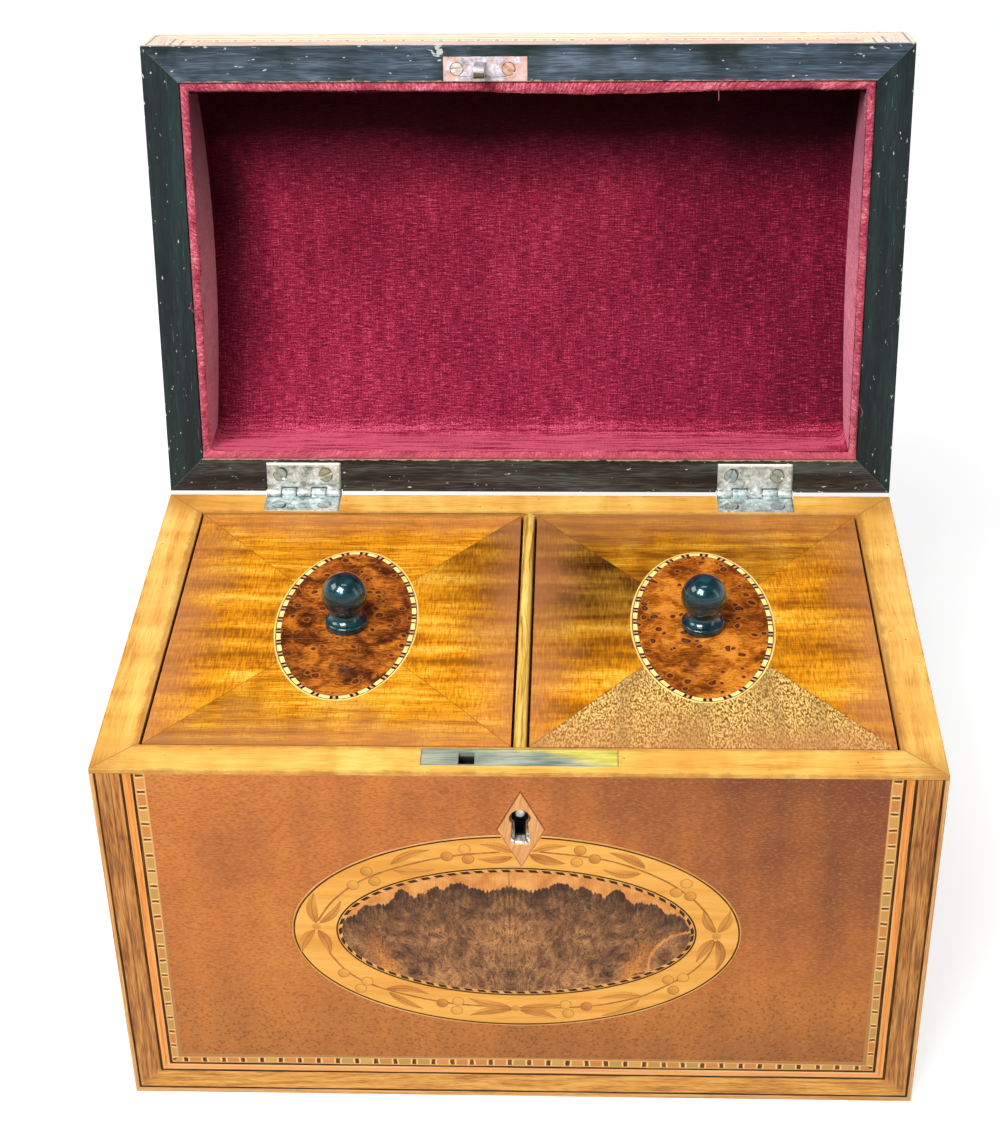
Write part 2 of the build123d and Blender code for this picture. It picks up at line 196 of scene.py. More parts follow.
# %% [markdown]
# ## Wood, cut and polished
#
# Wood looks like wood because three things of different size lie on top of each other: growth stripes a few
# millimetres wide and very long, pores like short fine scratches, and ripples across the grain where the fibres
# wave. Each is the same noise, stretched along the grain by its own length and width. The grain itself is never
# straight, so the place is pushed sideways by a slow noise first.


# %% Wood from stretched noise
def stretched(n, place, size, turn=(0, 0, 0), **more):
    """Noise with lumps of size (x, y, z) in mm: the place is divided by the size, and then turned."""
    lumps = n("Mapping", place, Scale=[1 / length for length in size], Rotation=turn)
    return n("TexNoise", lumps, Scale=1.0, **more)


def figured_wood(
    n, grain, tones, stripe=(70, 2.4), pore=(6, 0.28), ripple=0.0, ripple_mm=5.0, wander=5.0, fine=0.3
):
    """Colour and pore height of a wood surface. grain is a place in mm whose x runs along the grain.

    value = (1 - fine - ripple) stripes + fine pores + ripple waves; the colour runs through tones, dark to light.
    """
    slow = n("TexNoise", grain, Scale=1 / 45, Detail=2.0, out="Color")
    bent = n("VectorMath MULTIPLY_ADD", slow, (0, wander, wander), grain)
    stripes = stretched(n, bent, (*stripe, stripe[1]), Detail=4.0)
    pores = stretched(n, bent, (*pore, pore[1]), Detail=1.0)
    wave = stretched(n, bent, (ripple_mm, 22, 22), Detail=2.0, Distortion=0.4)
    value = n("MULTIPLY_ADD", pores, fine, n("MULTIPLY_ADD", stripes, 1 - fine - ripple, 0.0))
    value = n("MULTIPLY_ADD", wave, ripple, value)
    colour = n("ValToRGB", value, stops=list(zip(np.linspace(0.38, 0.62, len(tones)), tones)))
    return colour, pores


# %% [markdown]
# The woods of this box are cut as thin sheets and polished with shellac, which is clear, hard and a little
# uneven. That gives every wood the same kind of gloss: a refractive index near 1.5 and a roughness near 0.35.
# Old polish is full of fine scratches that send the mirror image everywhere, so its reflection is set to half.
#
# Satinwood, the pale gold of the facing round the rim, is laid in four strips with mitred corners. The mitre
# needs no geometry: a point belongs to the end strip if it is nearer to the end of the box than to its front or
# back, and there the grain coordinates swap.

# %% Satinwood facing of the case, mitred
def shellac(mirror=0.25):
    """Old hand-rubbed polish. Clean polish would have a mirror of 0.5; fine scratches leave less of it."""
    return {"Roughness": 0.36, "IOR": 1.5, "Specular_IOR_Level": mirror}


def mitred(n, place):
    """Distances in from the end and from the side, whether the end is nearer, and the grain, turned there."""
    x, y = n("SeparateXYZ", place, out=[*"XY"])
    from_end = n("SUBTRACT", HALF_W, n("ABSOLUTE", x))
    from_side = n("SUBTRACT", HALF_D, n("ABSOLUTE", y))
    is_end = n("LESS_THAN", from_end, from_side)
    end_grain = n("VectorRotate Z_AXIS", place, Angle=radians(90))
    return from_end, from_side, is_end, n("Mix VECTOR", is_end, place, end_grain)


satin_facing, n = new_finish("polished_satinwood_facing", **shellac())
place = place_mm(n)
from_end, from_side, _, grain = mitred(n, place)
tones = ("#C98A38", "#DFA347", "#E9B254", "#F0BE5F", "#F4C970")
colour, pores = figured_wood(n, grain, tones, stripe=(55, 3.2), pore=(7, 0.35), ripple=0.3, ripple_mm=7)
blush = n("MapRange", n("TexNoise", place, Scale=1 / 20, Detail=2.0), 0.45, 0.7, 0, 0.55)
colour = n("Mix RGBA", blush, colour, "#E0983F")
# Dirt lies in the joints, along both edges and in small dents
apart = n("ABSOLUTE", n("SUBTRACT", from_end, from_side))
joint = n("MapRange", apart, 0.28, 0.08, 0, 0.8)
to_edge = n("MINIMUM", from_end, from_side)
patchy = n("TexNoise", place, Scale=1 / 3.5, Detail=4.0, Roughness=0.65)
inner = n("MapRange", n("MULTIPLY_ADD", patchy, 2.6, to_edge), 8.9, 10.2, 0, 0.5)
outer = n("MapRange", n("MULTIPLY_ADD", patchy, -3.2, to_edge), -1.0, -2.0, 0, 0.45)
corner = n("MapRange", n("MULTIPLY_ADD", n("MAXIMUM", from_end, from_side), 0.3, patchy), 4.4, 0.8, 0, 0.5)
dents = n("TexVoronoi", place, Scale=1 / 4.5, Randomness=1.0, out="Distance")
dents = n("MapRange", dents, 0.075, 0.045, 0, 0.7)
grime = n("MAXIMUM", n("MAXIMUM", inner, outer), corner)
grime = n("MAXIMUM", n("MAXIMUM", grime, joint), dents)
colour = n("Mix RGBA", grime, colour, "#8A4E1C")
wire(satin_facing, colour, height=pores, depth=0.02)

# %% [markdown]
# The field of the front is a reddish veneer full of small wavy flecks, a cut across the rays of the tree. The
# flecks are noise stretched sideways to about 1.5 by 0.5 mm and then bent; only its peaks are kept, as darker
# marks on a ground that changes slowly from golden to purplish. Towards the right the field is painted darker,
# as painted shade where the light falls off, darkest at the top right; towards the lower left the flecks turn
# into small round pores.

# %% Flecked veneer of the front
fleck_veneer, n = new_finish("polished_flecked_veneer", **shellac(0.18))
place = place_mm(n)
x, z = n("SeparateXYZ", place, out=[*"XZ"])
sway = n("TexNoise", place, Scale=1 / 1.6, Detail=2.0, out="Color")
bent = n("VectorMath MULTIPLY_ADD", sway, (0.5, 0, 1.0), place)
grain = stretched(n, bent, (1.0, 1, 0.3), turn=(0, radians(12), 0), Detail=3.0, Roughness=0.5)
flecks = n("MapRange", grain, 0.5, 0.64, 0, 0.5)
lights = n("MapRange", grain, 0.47, 0.34, 0, 0.3)
low = n("MapRange", n("MULTIPLY_ADD", n("TexNoise", place, Scale=1 / 18, Detail=2.0), 26.0, z), 62.0, 44.0)
slow = n("TexNoise", place, Scale=1 / 24, Detail=4.0, Roughness=0.55)
streak = stretched(n, place, (9, 1, 50), Detail=3.0)
high = n("MapRange", z, 45.0, 95.0)
# Painted shade: the field darkens towards the right, where the light falls off, and most at the top right
painted_falloff = n("MapRange", x, -10.0, 88.0, 0, 0.6)
corner = n("MULTIPLY", high, painted_falloff)
dark = n("ADD", corner, n("MULTIPLY", painted_falloff, 0.38))
foot = n("MapRange", z, 34.0, 13.0, 0, 0.32)
dark = n("MULTIPLY_ADD", slow, 0.9, n("ADD", dark, foot))
dark = n("ADD", n("MULTIPLY_ADD", streak, 0.7, dark), -0.5)
ground = n("ValToRGB", dark, stops=((0.0, "#D2863C"), (0.3, "#C67538"), (0.65, "#A25E32"), (1.0, "#7C452A")))
gold = n("MULTIPLY", low, 0.3)
ground = n("Mix RGBA", gold, ground, "#C08034")
flecks = n("MULTIPLY", n("MapRange", low, 0, 1, 1.0, 0.55), flecks)
colour = n("Mix RGBA", lights, n("Mix RGBA", flecks, ground, "#82441E"), "#D88E50")
dots = n("MapRange", n("TexVoronoi", bent, Scale=1 / 1.1, Randomness=1.0, out="Distance"), 0.4, 0.2, 0, 0.5)
dots = n("MULTIPLY", dots, low)
colour = n("Mix RGBA", dots, colour, "#6E3A18")
wire(fleck_veneer, colour, height=grain, depth=0.012)

# %% [markdown]
# The ends, the back and the lid are covered with plainer sheets of the same wood. One finish serves them all,
# with the grain running along the box; the lid gets its own copy because its places are measured with the lid
# turned shut.

# %% Plain veneer of the ends, the back and the lid
plain_veneers = {}
for part, on_lid in (("case", False), ("lid", True)):
    material, n = new_finish(f"polished_{part}_veneer", **shellac(0.1))
    place = place_mm(n, on_lid)
    tones = ("#8A4C1E", "#B06A32", "#C67C3E", "#D4904E")
    colour, pores = figured_wood(n, place, tones, stripe=(80, 3.5), ripple=0.35, ripple_mm=9)
    flecks = stretched(n, place, (2.2, 0.7, 0.7), Detail=2.0)
    flecks = n("MapRange", flecks, 0.52, 0.68, 0.0, 0.5)
    colour = n("Mix RGBA", flecks, colour, "#86491F")
    wire(material, colour, height=pores, depth=0.02)
    plain_veneers[part] = material

# %% [markdown]
# The inner lids are quartered: four triangles of wood meet along the diagonals, so that each side shows a
# different figure. Whether a point lies in an end triangle or in a front or back one is again a comparison of
# two distances, each divided by its half size. The wood is amber, with soft gold bands across it and a linen-like
# hatch of fine pores; parts of each triangle are much darker. That darkness is a sloping plane per triangle:
# darkness = a + b across + c along, with three numbers given per triangle.

# %% Quartered veneer of the inner lids
INNER_LIDS = {"left": (-84.6, -1.5, -42.7), "right": (2.7, 84.7, 43.5)}
DARKNESS = {  # (b, c, a) of the end triangles on the left and right, then of the back and the front one
    "left": ((-1.0, 0.15, -0.75), (1.0, 0.8, -0.5), (0.0, 0.6, -0.6), (-0.35, -0.9, -0.5)),
    "right": ((-0.3, 1.5, 0.52), (0.55, 0.3, -0.35), (-0.2, 0.1, 0.44), (0.0, 0.0, 0.0)),
}
quartered = {}
for side, (x0, x1, knob_x) in INNER_LIDS.items():
    material, n = new_finish(f"quartered_{side}_veneer", **shellac(0.1))
    place = place_mm(n)
    centre, size = ((x0 + x1) / 2, 0, 0), (2 / (x1 - x0), 1 / 48.6, 0)
    share = n("VectorMath MULTIPLY", n("VectorMath SUBTRACT", place, centre), size)
    across, along = n("SeparateXYZ", share, out=[*"XY"])
    across_size, along_size = (n("ABSOLUTE", v) for v in (across, along))
    in_end = n("GREATER_THAN", across_size, along_size)
    in_back = n("GREATER_THAN", along, 0.0)
    in_right = n("GREATER_THAN", across, 0.0)
    planes = []
    for slope_x, slope_y, level_at in DARKNESS[side]:
        plane = n("VectorMath DOT_PRODUCT", share, (slope_x, slope_y, 0))
        planes.append(n("ADD", plane, level_at))
    ends_dark = n("Mix FLOAT", in_right, planes[0], planes[1])
    faces_dark = n("Mix FLOAT", in_back, planes[3], planes[2])
    dark = n("Mix FLOAT", in_end, faces_dark, ends_dark)
    cloud = n("TexNoise", place, Scale=1 / 13, Detail=3.0)
    dark = n("MULTIPLY", n("ADD", n("MULTIPLY_ADD", cloud, 1.1, dark), -0.5), 0.9, use_clamp=True)
    gold = ("#9A5A0C", "#C4780F", "#E09014", "#F0A625", "#FABF45")
    brown = ("#33200B", "#55350D", "#744C14", "#8C611C", "#A87828")
    shifted = n("VectorMath ADD", place, (0, 37.0, 5.0))
    figure = {"stripe": (34, 4.8), "pore": (0.5, 4), "ripple": 0.1, "ripple_mm": 9, "wander": 4, "fine": 0.24}
    plain = {"stripe": (70, 2.2), "pore": (6, 0.35), "ripple": 0.25, "ripple_mm": 9, "wander": 3, "fine": 0.3}
    kinds = [figured_wood(n, shifted, tones, **look) for look in (figure, plain) for tones in (gold, brown)]
    end_colour = n("Mix RGBA", dark, kinds[0][0], kinds[1][0])
    face_colour = n("Mix RGBA", dark, kinds[2][0], kinds[3][0])
    colour = n("Mix RGBA", in_end, face_colour, end_colour)
    # Fine crossing lines lie over all four quarters, as on linen
    for size in ((0.42, 2.6, 1), (4, 0.36, 1)):
        hatch = stretched(n, place, size, Detail=2.0)
        hatch = n("MapRange", hatch, 0.52, 0.66, 0, 0.4)
        colour = n("Mix RGBA", hatch, colour, "#6E3F12")
    if side == "right":
        # The front triangle is cut across the rays: pale, with short dark flecks that lie along the grain
        pushed = n("TexNoise", place, Scale=1 / 3, Detail=1.0, out="Color")
        pushed = n("VectorMath MULTIPLY_ADD", pushed, (1.2, 1.0, 0), place)
        speck = stretched(n, pushed, (0.42, 1.05, 1), Detail=2.0, Distortion=0.3)
        veil = stretched(n, place, (9, 40, 1), Detail=2.0)
        tones = ((0.38, "#6E4A1C"), (0.46, "#A87D36"), (0.54, "#DDB265"), (0.64, "#F2CC86"))
        speckled = n("ValToRGB", speck, stops=tones)
        veil = n("MapRange", veil, 0.5, 0.62, 0, 0.5)
        speckled = n("Mix RGBA", veil, speckled, "#94703E")
        is_face = n("SUBTRACT", 1.0, in_end)
        in_front = n("SUBTRACT", 1.0, in_back)
        pale = n("MULTIPLY", is_face, in_front)
        colour = n("Mix RGBA", pale, colour, speckled)
    # The polish has bloomed mauve along the outer edges
    edge = n("MULTIPLY_ADD", cloud, 0.5, n("MAXIMUM", across_size, along_size))
    edge = n("MapRange", edge, 0.95, 1.25, 0, 0.6)
    colour = n("Mix RGBA", edge, colour, "#BC7A4A")
    seam = n("MapRange", n("ABSOLUTE", n("SUBTRACT", across_size, along_size)), 0.005, 0.002, 0, 0.5)
    colour = n("Mix RGBA", seam, colour, "#5A3512")
    wire(material, colour, height=kinds[3][1], depth=0.02)
    quartered[side] = material

# %% [markdown]
# Burr wood grows in knots of tiny buds. Cut across, each bud is an eye: a brown core in a dark ring with a pale
# halo, and the grain runs round it like water round a stone. A Voronoi texture scatters points over the surface
# and gives the distance to the nearest one, which draws the rings; each point also gets a random colour, which
# here decides how large its eye is and whether it shows at all. Adding the distance to the third coordinate of
# a noise makes the noise change quickly near an eye, so its contours close round the eye too.

# %% Yew burr of the small ovals
burr_yew = {}
for side, tones, crowding, shift in (
    ("left", ("#44200C", "#733A14", "#A2571A", "#C97822"), (0.3, 0.54), (0, 0, 0)),
    ("right", ("#64300C", "#964F12", "#BE6C1C", "#DC8C30"), (0.12, 0.36), (31, 17, 0)),
):
    polish = {"Roughness": 0.26, "IOR": 1.5, "Specular_IOR_Level": 0.2, "Coat_Weight": 0.15, "Coat_Roughness": 0.1}
    material, n = new_finish(f"polished_{side}_yew_burr", **polish)
    place = n("VectorMath ADD", place_mm(n), shift)
    bend = n("TexNoise", place, Scale=1 / 5, Detail=2.0, out="Color")
    bent = n("VectorMath MULTIPLY_ADD", bend, (3.0, 3.0, 0), place)
    cell = partial(n, "TexVoronoi", bent, Scale=1 / 3.3, Randomness=0.9)
    near = n("MULTIPLY", cell(out="Distance"), 3.3)
    dice_size, dice_shown = n("SeparateXYZ", cell(out="Color"), out=[*"XY"])
    size = n("MapRange", dice_size, 0, 1, 0.3, 0.75)
    crowd = n("MapRange", n("TexNoise", place, Scale=1 / 10, Detail=1.0), crowding[0], crowding[1])
    shown = n("GREATER_THAN", crowd, dice_shown)
    rise = n("CombineXYZ", Z=n("MULTIPLY", near, 2.2))
    flow = n("VectorMath ADD", bent, rise)
    cloud = n("TexNoise", place, Scale=1 / 7, Detail=2.0, Distortion=0.8)
    fibre = stretched(n, flow, (2.2, 0.55, 1.2), turn=(0, 0, 0.9), Detail=3.0, Distortion=0.5)
    value = n("MULTIPLY_ADD", fibre, 0.42, n("MULTIPLY", cloud, 0.58))
    colour = n("ValToRGB", value, stops=list(zip((0.39, 0.47, 0.54, 0.61), tones)))
    off_ring = n("SUBTRACT", near, size)
    halo = n("MULTIPLY", n("MapRange", off_ring, 0.75, 0.25, 0, 0.5), shown)
    colour = n("Mix RGBA", halo, colour, "#C87A34")
    eye = n("MULTIPLY", n("MapRange", off_ring, 0.28, 0.08, 0, 0.9), shown)
    colour = n("Mix RGBA", eye, colour, "#371506")
    core = n("MULTIPLY", n("MapRange", off_ring, -0.15, -0.35, 0, 0.7), shown)
    colour = n("Mix RGBA", core, colour, "#7A4430")
    # Fine pale scratches, a few of them long
    scratch = stretched(n, place, (26, 0.2, 1), turn=(0, 0, -0.75), Detail=1.0)
    scratch = n("MapRange", scratch, 0.74, 0.8, 0, 0.6)
    colour = n("Mix RGBA", scratch, colour, "#D59A6A")
    wire(material, colour, height=fibre, depth=0.01)
    burr_yew[side] = material

# %% [markdown]
# The large oval holds a darker burr whose pale outer wood (the sap) was kept as a crescent along the top. Two
# neighbouring sheets were opened like a book, so the figure mirrors about an upright joint; the absolute value
# of the distance from that joint makes the mirror. The burr fans out from below: its noise is stretched along
# the radius from a point under the oval. Thin dark squiggles are the places where a noise crosses its middle
# value. Its upper edge is a row of rounded clumps, like the top of a cauliflower: circles round scattered points.

# %% Dark burr of the front panel, with its crescent of sap wood
panel_burr, n = new_finish("polished_dark_burr", **shellac(0.15))
place = place_mm(n)
x, z = n("SeparateXYZ", place, out=[*"XZ"])
from_joint = n("ABSOLUTE", n("ADD", x, 2.0))
opened = n("CombineXYZ", X=from_joint, Z=z)
bend = n("TexNoise", opened, Scale=1 / 6, Detail=3.0, out="Color")
bent = n("VectorMath MULTIPLY_ADD", bend, (6.0, 0, 6.0), opened)
low_point = n("VectorMath SUBTRACT", bent, (3.0, 0, 18.0))
low_x, low_z = n("SeparateXYZ", low_point, out=[*"XZ"])
turn = n("ARCTAN2", low_x, low_z)
radius = n("VectorMath LENGTH", low_point)
fan = n("CombineXYZ", X=n("MULTIPLY", turn, 22.0), Z=n("MULTIPLY", radius, 1 / 4))
feather = n("TexNoise", fan, Scale=1.0, Detail=5.0, Roughness=0.65)
cloud = n("TexNoise", opened, Scale=1 / 5, Detail=5.0, Roughness=0.65, Distortion=1.0)
broad = n("TexNoise", opened, Scale=1 / 14, Detail=2.0, Distortion=0.6)
value = n("MULTIPLY_ADD", feather, 0.5, n("MULTIPLY", cloud, 0.3))
value = n("MULTIPLY_ADD", broad, 0.4, n("SUBTRACT", value, 0.1))
tones = ((0.38, "#4E3220"), (0.46, "#805638"), (0.53, "#A8744A"), (0.62, "#D0945A"))
burr_colour = n("ValToRGB", value, stops=tones)
# Two flames of orange wood rise from the lower edge, left and right
flame = n("MULTIPLY_ADD", n("SUBTRACT", z, 40.0), -0.32, from_joint)
flame = n("SUBTRACT", n("MULTIPLY_ADD", cloud, 5.0, flame), 30.5)
flame = n("MapRange", n("ABSOLUTE", flame), 3.6, 0.4)
flame = n("MULTIPLY", flame, n("MapRange", z, 56.0, 45.0, 0, 0.9))
burr_colour = n("Mix RGBA", flame, burr_colour, "#D98A44")
for size, width, strength in (((1.5, 1, 2.6), 0.022, 0.75), ((0.8, 1, 1.3), 0.03, 0.55)):
    squiggle = stretched(n, bent, size, Detail=3.0, Distortion=1.0)
    squiggle = n("MapRange", n("ABSOLUTE", n("SUBTRACT", squiggle, 0.5)), width, width / 3, 0, strength)
    burr_colour = n("Mix RGBA", squiggle, burr_colour, "#3A2415")

# %% [markdown]
# Over that burr lies the sap wood. Its lower edge follows an ellipse, raised round scattered points and fringed
# by upright drips, and a pale split runs up through the burr on the right.

# %% The sap wood, and the finished panel
# Edge of the sap: z = 51.2 + 15 sqrt(1 - (x / 41.5)^2), raised round scattered points and fringed by upright drips
ratio = n("DIVIDE", n("ADD", x, 0.6), 41.5)
square = n("MULTIPLY", ratio, ratio)
height = n("SQRT", n("SUBTRACT", 1.0, square))
edge_z = n("MULTIPLY_ADD", height, 15.0, 51.2)
spots = n("CombineXYZ", X=from_joint, Z=n("MULTIPLY", z, 0.25))
clumps = n("TexVoronoi", spots, Scale=1 / 3.6, Randomness=1.0, out="Distance")
drips = stretched(n, opened, (0.75, 1, 4), Detail=3.0, Roughness=0.6)
swell = n("TexNoise", n("CombineXYZ", X=from_joint), Scale=1 / 7, Detail=1.0)
for wave, size in ((clumps, -3.6), (drips, 3.4), (swell, 4.4)):
    edge_z = n("MULTIPLY_ADD", wave, size, edge_z)
over = n("SUBTRACT", z, edge_z)
# The burr is darkest in the clumps under that edge, in upright drips with brown between them
under = n("MapRange", over, -11.0, -1.5)
drip_dark = n("MapRange", drips, 0.42, 0.54, 0.35, 0.85)
under = n("MULTIPLY", under, drip_dark)
burr_colour = n("Mix RGBA", under, burr_colour, "#39271B")
above = n("MapRange", over, -0.1, 0.25)
# A pale split runs up through the burr on the right: an arc of 10.7 mm radius round (41, 44)
to_split = n("VectorMath DISTANCE", n("VectorMath MULTIPLY", place, (1, 0, 1)), (41.0, 0, 44.0))
to_split = n("MULTIPLY_ADD", drips, 1.2, to_split)
split = n("MapRange", n("ABSOLUTE", n("SUBTRACT", to_split, 11.3)), 0.5, 0.25, 0, 0.8)
above = n("MAXIMUM", above, split)
sap_tones = ("#C97E3E", "#D98E48", "#E39C55", "#EAA65E")
sap_colour, _ = figured_wood(n, place, sap_tones, stripe=(5, 5), pore=(0.3, 5), fine=0.2)
colour = n("Mix RGBA", above, burr_colour, sap_colour)
joint_line = n("MapRange", from_joint, 0.2, 0.05, 0, 0.5)
colour = n("Mix RGBA", joint_line, colour, "#5A3516")
wire(panel_burr, colour, height=feather, depth=0.01)

# %% [markdown]
# The oval ring is satinwood again, smoother and without mitres, and the little diamond round the keyhole is a
# pale pinkish wood such as holly or pear.

# %% Satinwood of the oval ring, wood of the diamond, boxwood of the divider
ring_satinwood, n = new_finish("polished_satinwood_ring", **shellac())
tones = ("#E39A3C", "#EAA445", "#F0AC4E", "#F4B458")
colour, pores = figured_wood(n, place_mm(n), tones, stripe=(90, 3.5), pore=(8, 0.3), fine=0.2)
wire(ring_satinwood, colour, height=pores, depth=0.012)

diamond_wood, n = new_finish("polished_pale_diamond_wood", **shellac())
place = place_mm(n)
turned_grain = n("VectorRotate Y_AXIS", place, Angle=radians(80))
tones = ("#D08C50", "#D9965A", "#E0A064", "#E6AA6E")
colour, pores = figured_wood(n, turned_grain, tones, stripe=(14, 0.5), pore=(3, 0.25))
# Dark glue shows all along its edge: |x| / 5.4 + |z| / 10.95 is 1 there
offset = n("VectorMath SUBTRACT", place, (0.9, 0, 85.0))
offset = n("VectorMath MULTIPLY", n("VectorMath ABSOLUTE", offset), (1 / 5.4, 0, 1 / 10.95))
rim = n("MapRange", n("VectorMath DOT_PRODUCT", offset, (1, 1, 1)), 0.94, 0.985, 0, 0.7)
colour = n("Mix RGBA", rim, colour, "#5E3818")
wire(diamond_wood, colour, height=pores, depth=0.015)

boxwood, n = new_finish("waxed_boxwood", Roughness=0.42, IOR=1.5, Specular_IOR_Level=0.4)
turned_grain = n("VectorRotate Z_AXIS", place_mm(n), Angle=radians(90))
tones = ("#A8782C", "#D8A944", "#EAC262", "#F8D880")
colour, pores = figured_wood(n, turned_grain, tones, stripe=(40, 0.9), pore=(6, 0.25))
wire(boxwood, colour, height=pores, depth=0.02)

# %% [markdown]
# The carcass, the linings and the edges of the inner lids are plain woods that nobody was meant to look at:
# darker, dry and unpolished, so they scatter light more widely.

# %% Plain inside woods and tinned sheet
carcass = {}
for part, on_lid in (("case", False), ("lid", True)):
    material, n = new_finish(f"dry_{part}_carcass_wood", Roughness=0.7, IOR=1.5)
    tones = ("#6B4526", "#8A5D35", "#A27144", "#B58353")
    colour, pores = figured_wood(n, place_mm(n, on_lid), tones, stripe=(120, 4), pore=(5, 0.4))
    wire(material, colour, height=pores, depth=0.05)
    carcass[part] = material

inner_board, n = new_finish("dry_inner_board_wood", Roughness=0.6, IOR=1.5)
colour, pores = figured_wood(n, place_mm(n), ("#5A3718", "#7C4F27", "#966535"), stripe=(90, 3))
wire(inner_board, colour, height=pores, depth=0.04)

cedar, n = new_finish("dry_cedar_lining", Roughness=0.65, IOR=1.5)
colour, pores = figured_wood(n, place_mm(n), ("#7A4A2A", "#9B6640", "#B17A50"), stripe=(80, 2))
wire(cedar, colour, height=pores, depth=0.04)

tin_sheet, n = new_finish("dull_tinned_sheet", Metallic=1.0)
cloud = n("TexNoise", place_mm(n), Scale=1 / 9, Detail=5.0, Roughness=0.65)
colour = n("ValToRGB", cloud, stops=((0.35, "#6F6C66"), (0.5, "#8F8C86"), (0.65, "#A9A69F")))
gloss = n("MapRange", cloud, 0.3, 0.7, 0.6, 0.42)
wire(tin_sheet, colour, roughness=gloss, height=cloud, depth=0.05)

# %% [markdown]
# Ebonised wood is a close-grained wood stained black and polished to pass for ebony. On the lid's rim two
# centuries of closing have rubbed it: the front strip is grey-blue with dust in its pores, the back one shows
# brown wood through the stain, bare wood shows as a thin pale line along the inner edge, there are pale
# scratches, and the corners and the edge by the link plate are chipped.

# %% Ebonised rim of the lid, worn
worn_black, n = new_finish(
    "worn_ebonised_wood", IOR=1.5, Specular_IOR_Level=0.22, Coat_Weight=0.1, Coat_Roughness=0.25
)
place = place_mm(n, lid=True)
y = n("SeparateXYZ", place, out="Y")
from_end, from_side, is_end, grain = mitred(n, place)
look = {"stripe": (60, 3.2), "pore": (5, 0.35), "wander": 2, "fine": 0.42}
colour, pores = figured_wood(n, grain, ("#0B1516", "#132020", "#1D2E2C"), **look)
front_tone, _ = figured_wood(n, grain, ("#25303A", "#3E4C5A", "#5E6B7A"), **look)
back_tone, _ = figured_wood(n, grain, ("#1A1615", "#342C28", "#4C514E"), **look)
is_long = n("SUBTRACT", 1.0, is_end)
is_front = n("MULTIPLY", is_long, n("LESS_THAN", y, 0.0))
is_back = n("MULTIPLY", is_long, n("GREATER_THAN", y, 0.0))
bloom = n("MapRange", n("TexNoise", place, Scale=1 / 14, Detail=3.0), 0.35, 0.6)
colour = n("Mix RGBA", n("MULTIPLY", is_front, bloom), colour, front_tone)
colour = n("Mix RGBA", n("MULTIPLY", is_back, 0.8), colour, back_tone)
scratch = stretched(n, grain, (9, 0.16, 1), turn=(0, 0, 0.3), Detail=2.0)
scratch = n("MapRange", scratch, 0.72, 0.8, 0, 0.5)
# Chips: peaks of a noise, allowed mostly near edges, corners and the link plate
chips = stretched(n, grain, (1.7, 0.8, 1), Detail=1.5, Roughness=0.6)
to_edge = n("MINIMUM", from_end, from_side)
at_outer = n("MapRange", to_edge, 0.9, 0.0, 0, 0.07)
at_corner = n("MapRange", n("ADD", from_end, from_side), 20.0, 4.0, 0, 0.03)
to_plate = n("VectorMath DISTANCE", place, (-21.5, -56.6, 101.7))
at_plate = n("MapRange", to_plate, 2.6, 0.5, 0, 0.3)
wear = n("ADD", chips, n("ADD", n("ADD", at_outer, at_corner), at_plate))
flakes = n("MapRange", wear, 0.72, 0.76, 0, 0.9)
marks = n("MAXIMUM", scratch, flakes)
colour = n("Mix RGBA", marks, colour, "#B9C0B6")
bare = n("MULTIPLY", n("MapRange", n("MULTIPLY_ADD", chips, 1.2, to_edge), 9.3, 9.4, 0, 0.75), is_long)
colour = n("Mix RGBA", bare, colour, "#B9957A")
apart = n("ABSOLUTE", n("SUBTRACT", from_end, from_side))
joint = n("MapRange", apart, 0.16, 0.05, 0, 0.4)
colour = n("Mix RGBA", joint, colour, "#5E6A6A")
gloss = n("MapRange", n("TexNoise", place, Scale=1 / 8, Detail=3.0), 0.3, 0.7, 0.3, 0.5)
wire(worn_black, colour, roughness=gloss, height=pores, depth=0.03)

# %% [markdown]
# The knobs are turned from the same black-stained wood and polished on the lathe, so they are far smoother:
# they mirror the window like black glass, with only the faintest rings left by the tool.

# %% Ebonised knobs, glossy
glossy_black, n = new_finish(
    "glossy_ebonised_knob", Roughness=0.25, IOR=1.5, Specular_IOR_Level=0.45, Specular_Tint="#7CC0CC",
    Coat_Weight=1.0, Coat_Roughness=0.02,
)
place = place_mm(n)
turning = stretched(n, place, (20, 20, 0.5), Detail=2.0)
cloud = n("TexNoise", place, Scale=1 / 2.5, Detail=3.0)
value = n("MULTIPLY", turning, cloud)
colour = n("ValToRGB", value, stops=((0.15, "#021A1E"), (0.25, "#062A30"), (0.4, "#10424C")))
wire(glossy_black, colour, height=turning, depth=0.006)

# %% [markdown]
# Metals. The hinges are brass that was tinned and has gone grey and mottled; the link plate still has some of
# its tin and shows copper where it wore off; the lock's top plate is grey with a yellow brass shine at its right
# end; the works of the lock are bare steel. Clean metal only mirrors, and has no colour under its reflections.
# These carry a dull skin of oxide as well, so their metalness is set about half way, and the skin gives the
# scattered part. Tarnish changes both colour and roughness.

# %% Tarnished metals of the hinges, the link plate and the lock
def tarnish(n, place, size, stops, gloss, **noise):
    """Stains of size mm, their colour by the stops, and their roughness: gloss is (from, to, from, to)."""
    stain = n("TexNoise", place, Scale=1 / size, **noise)
    return stain, n("ValToRGB", stain, stops=stops), n("MapRange", stain, *gloss)


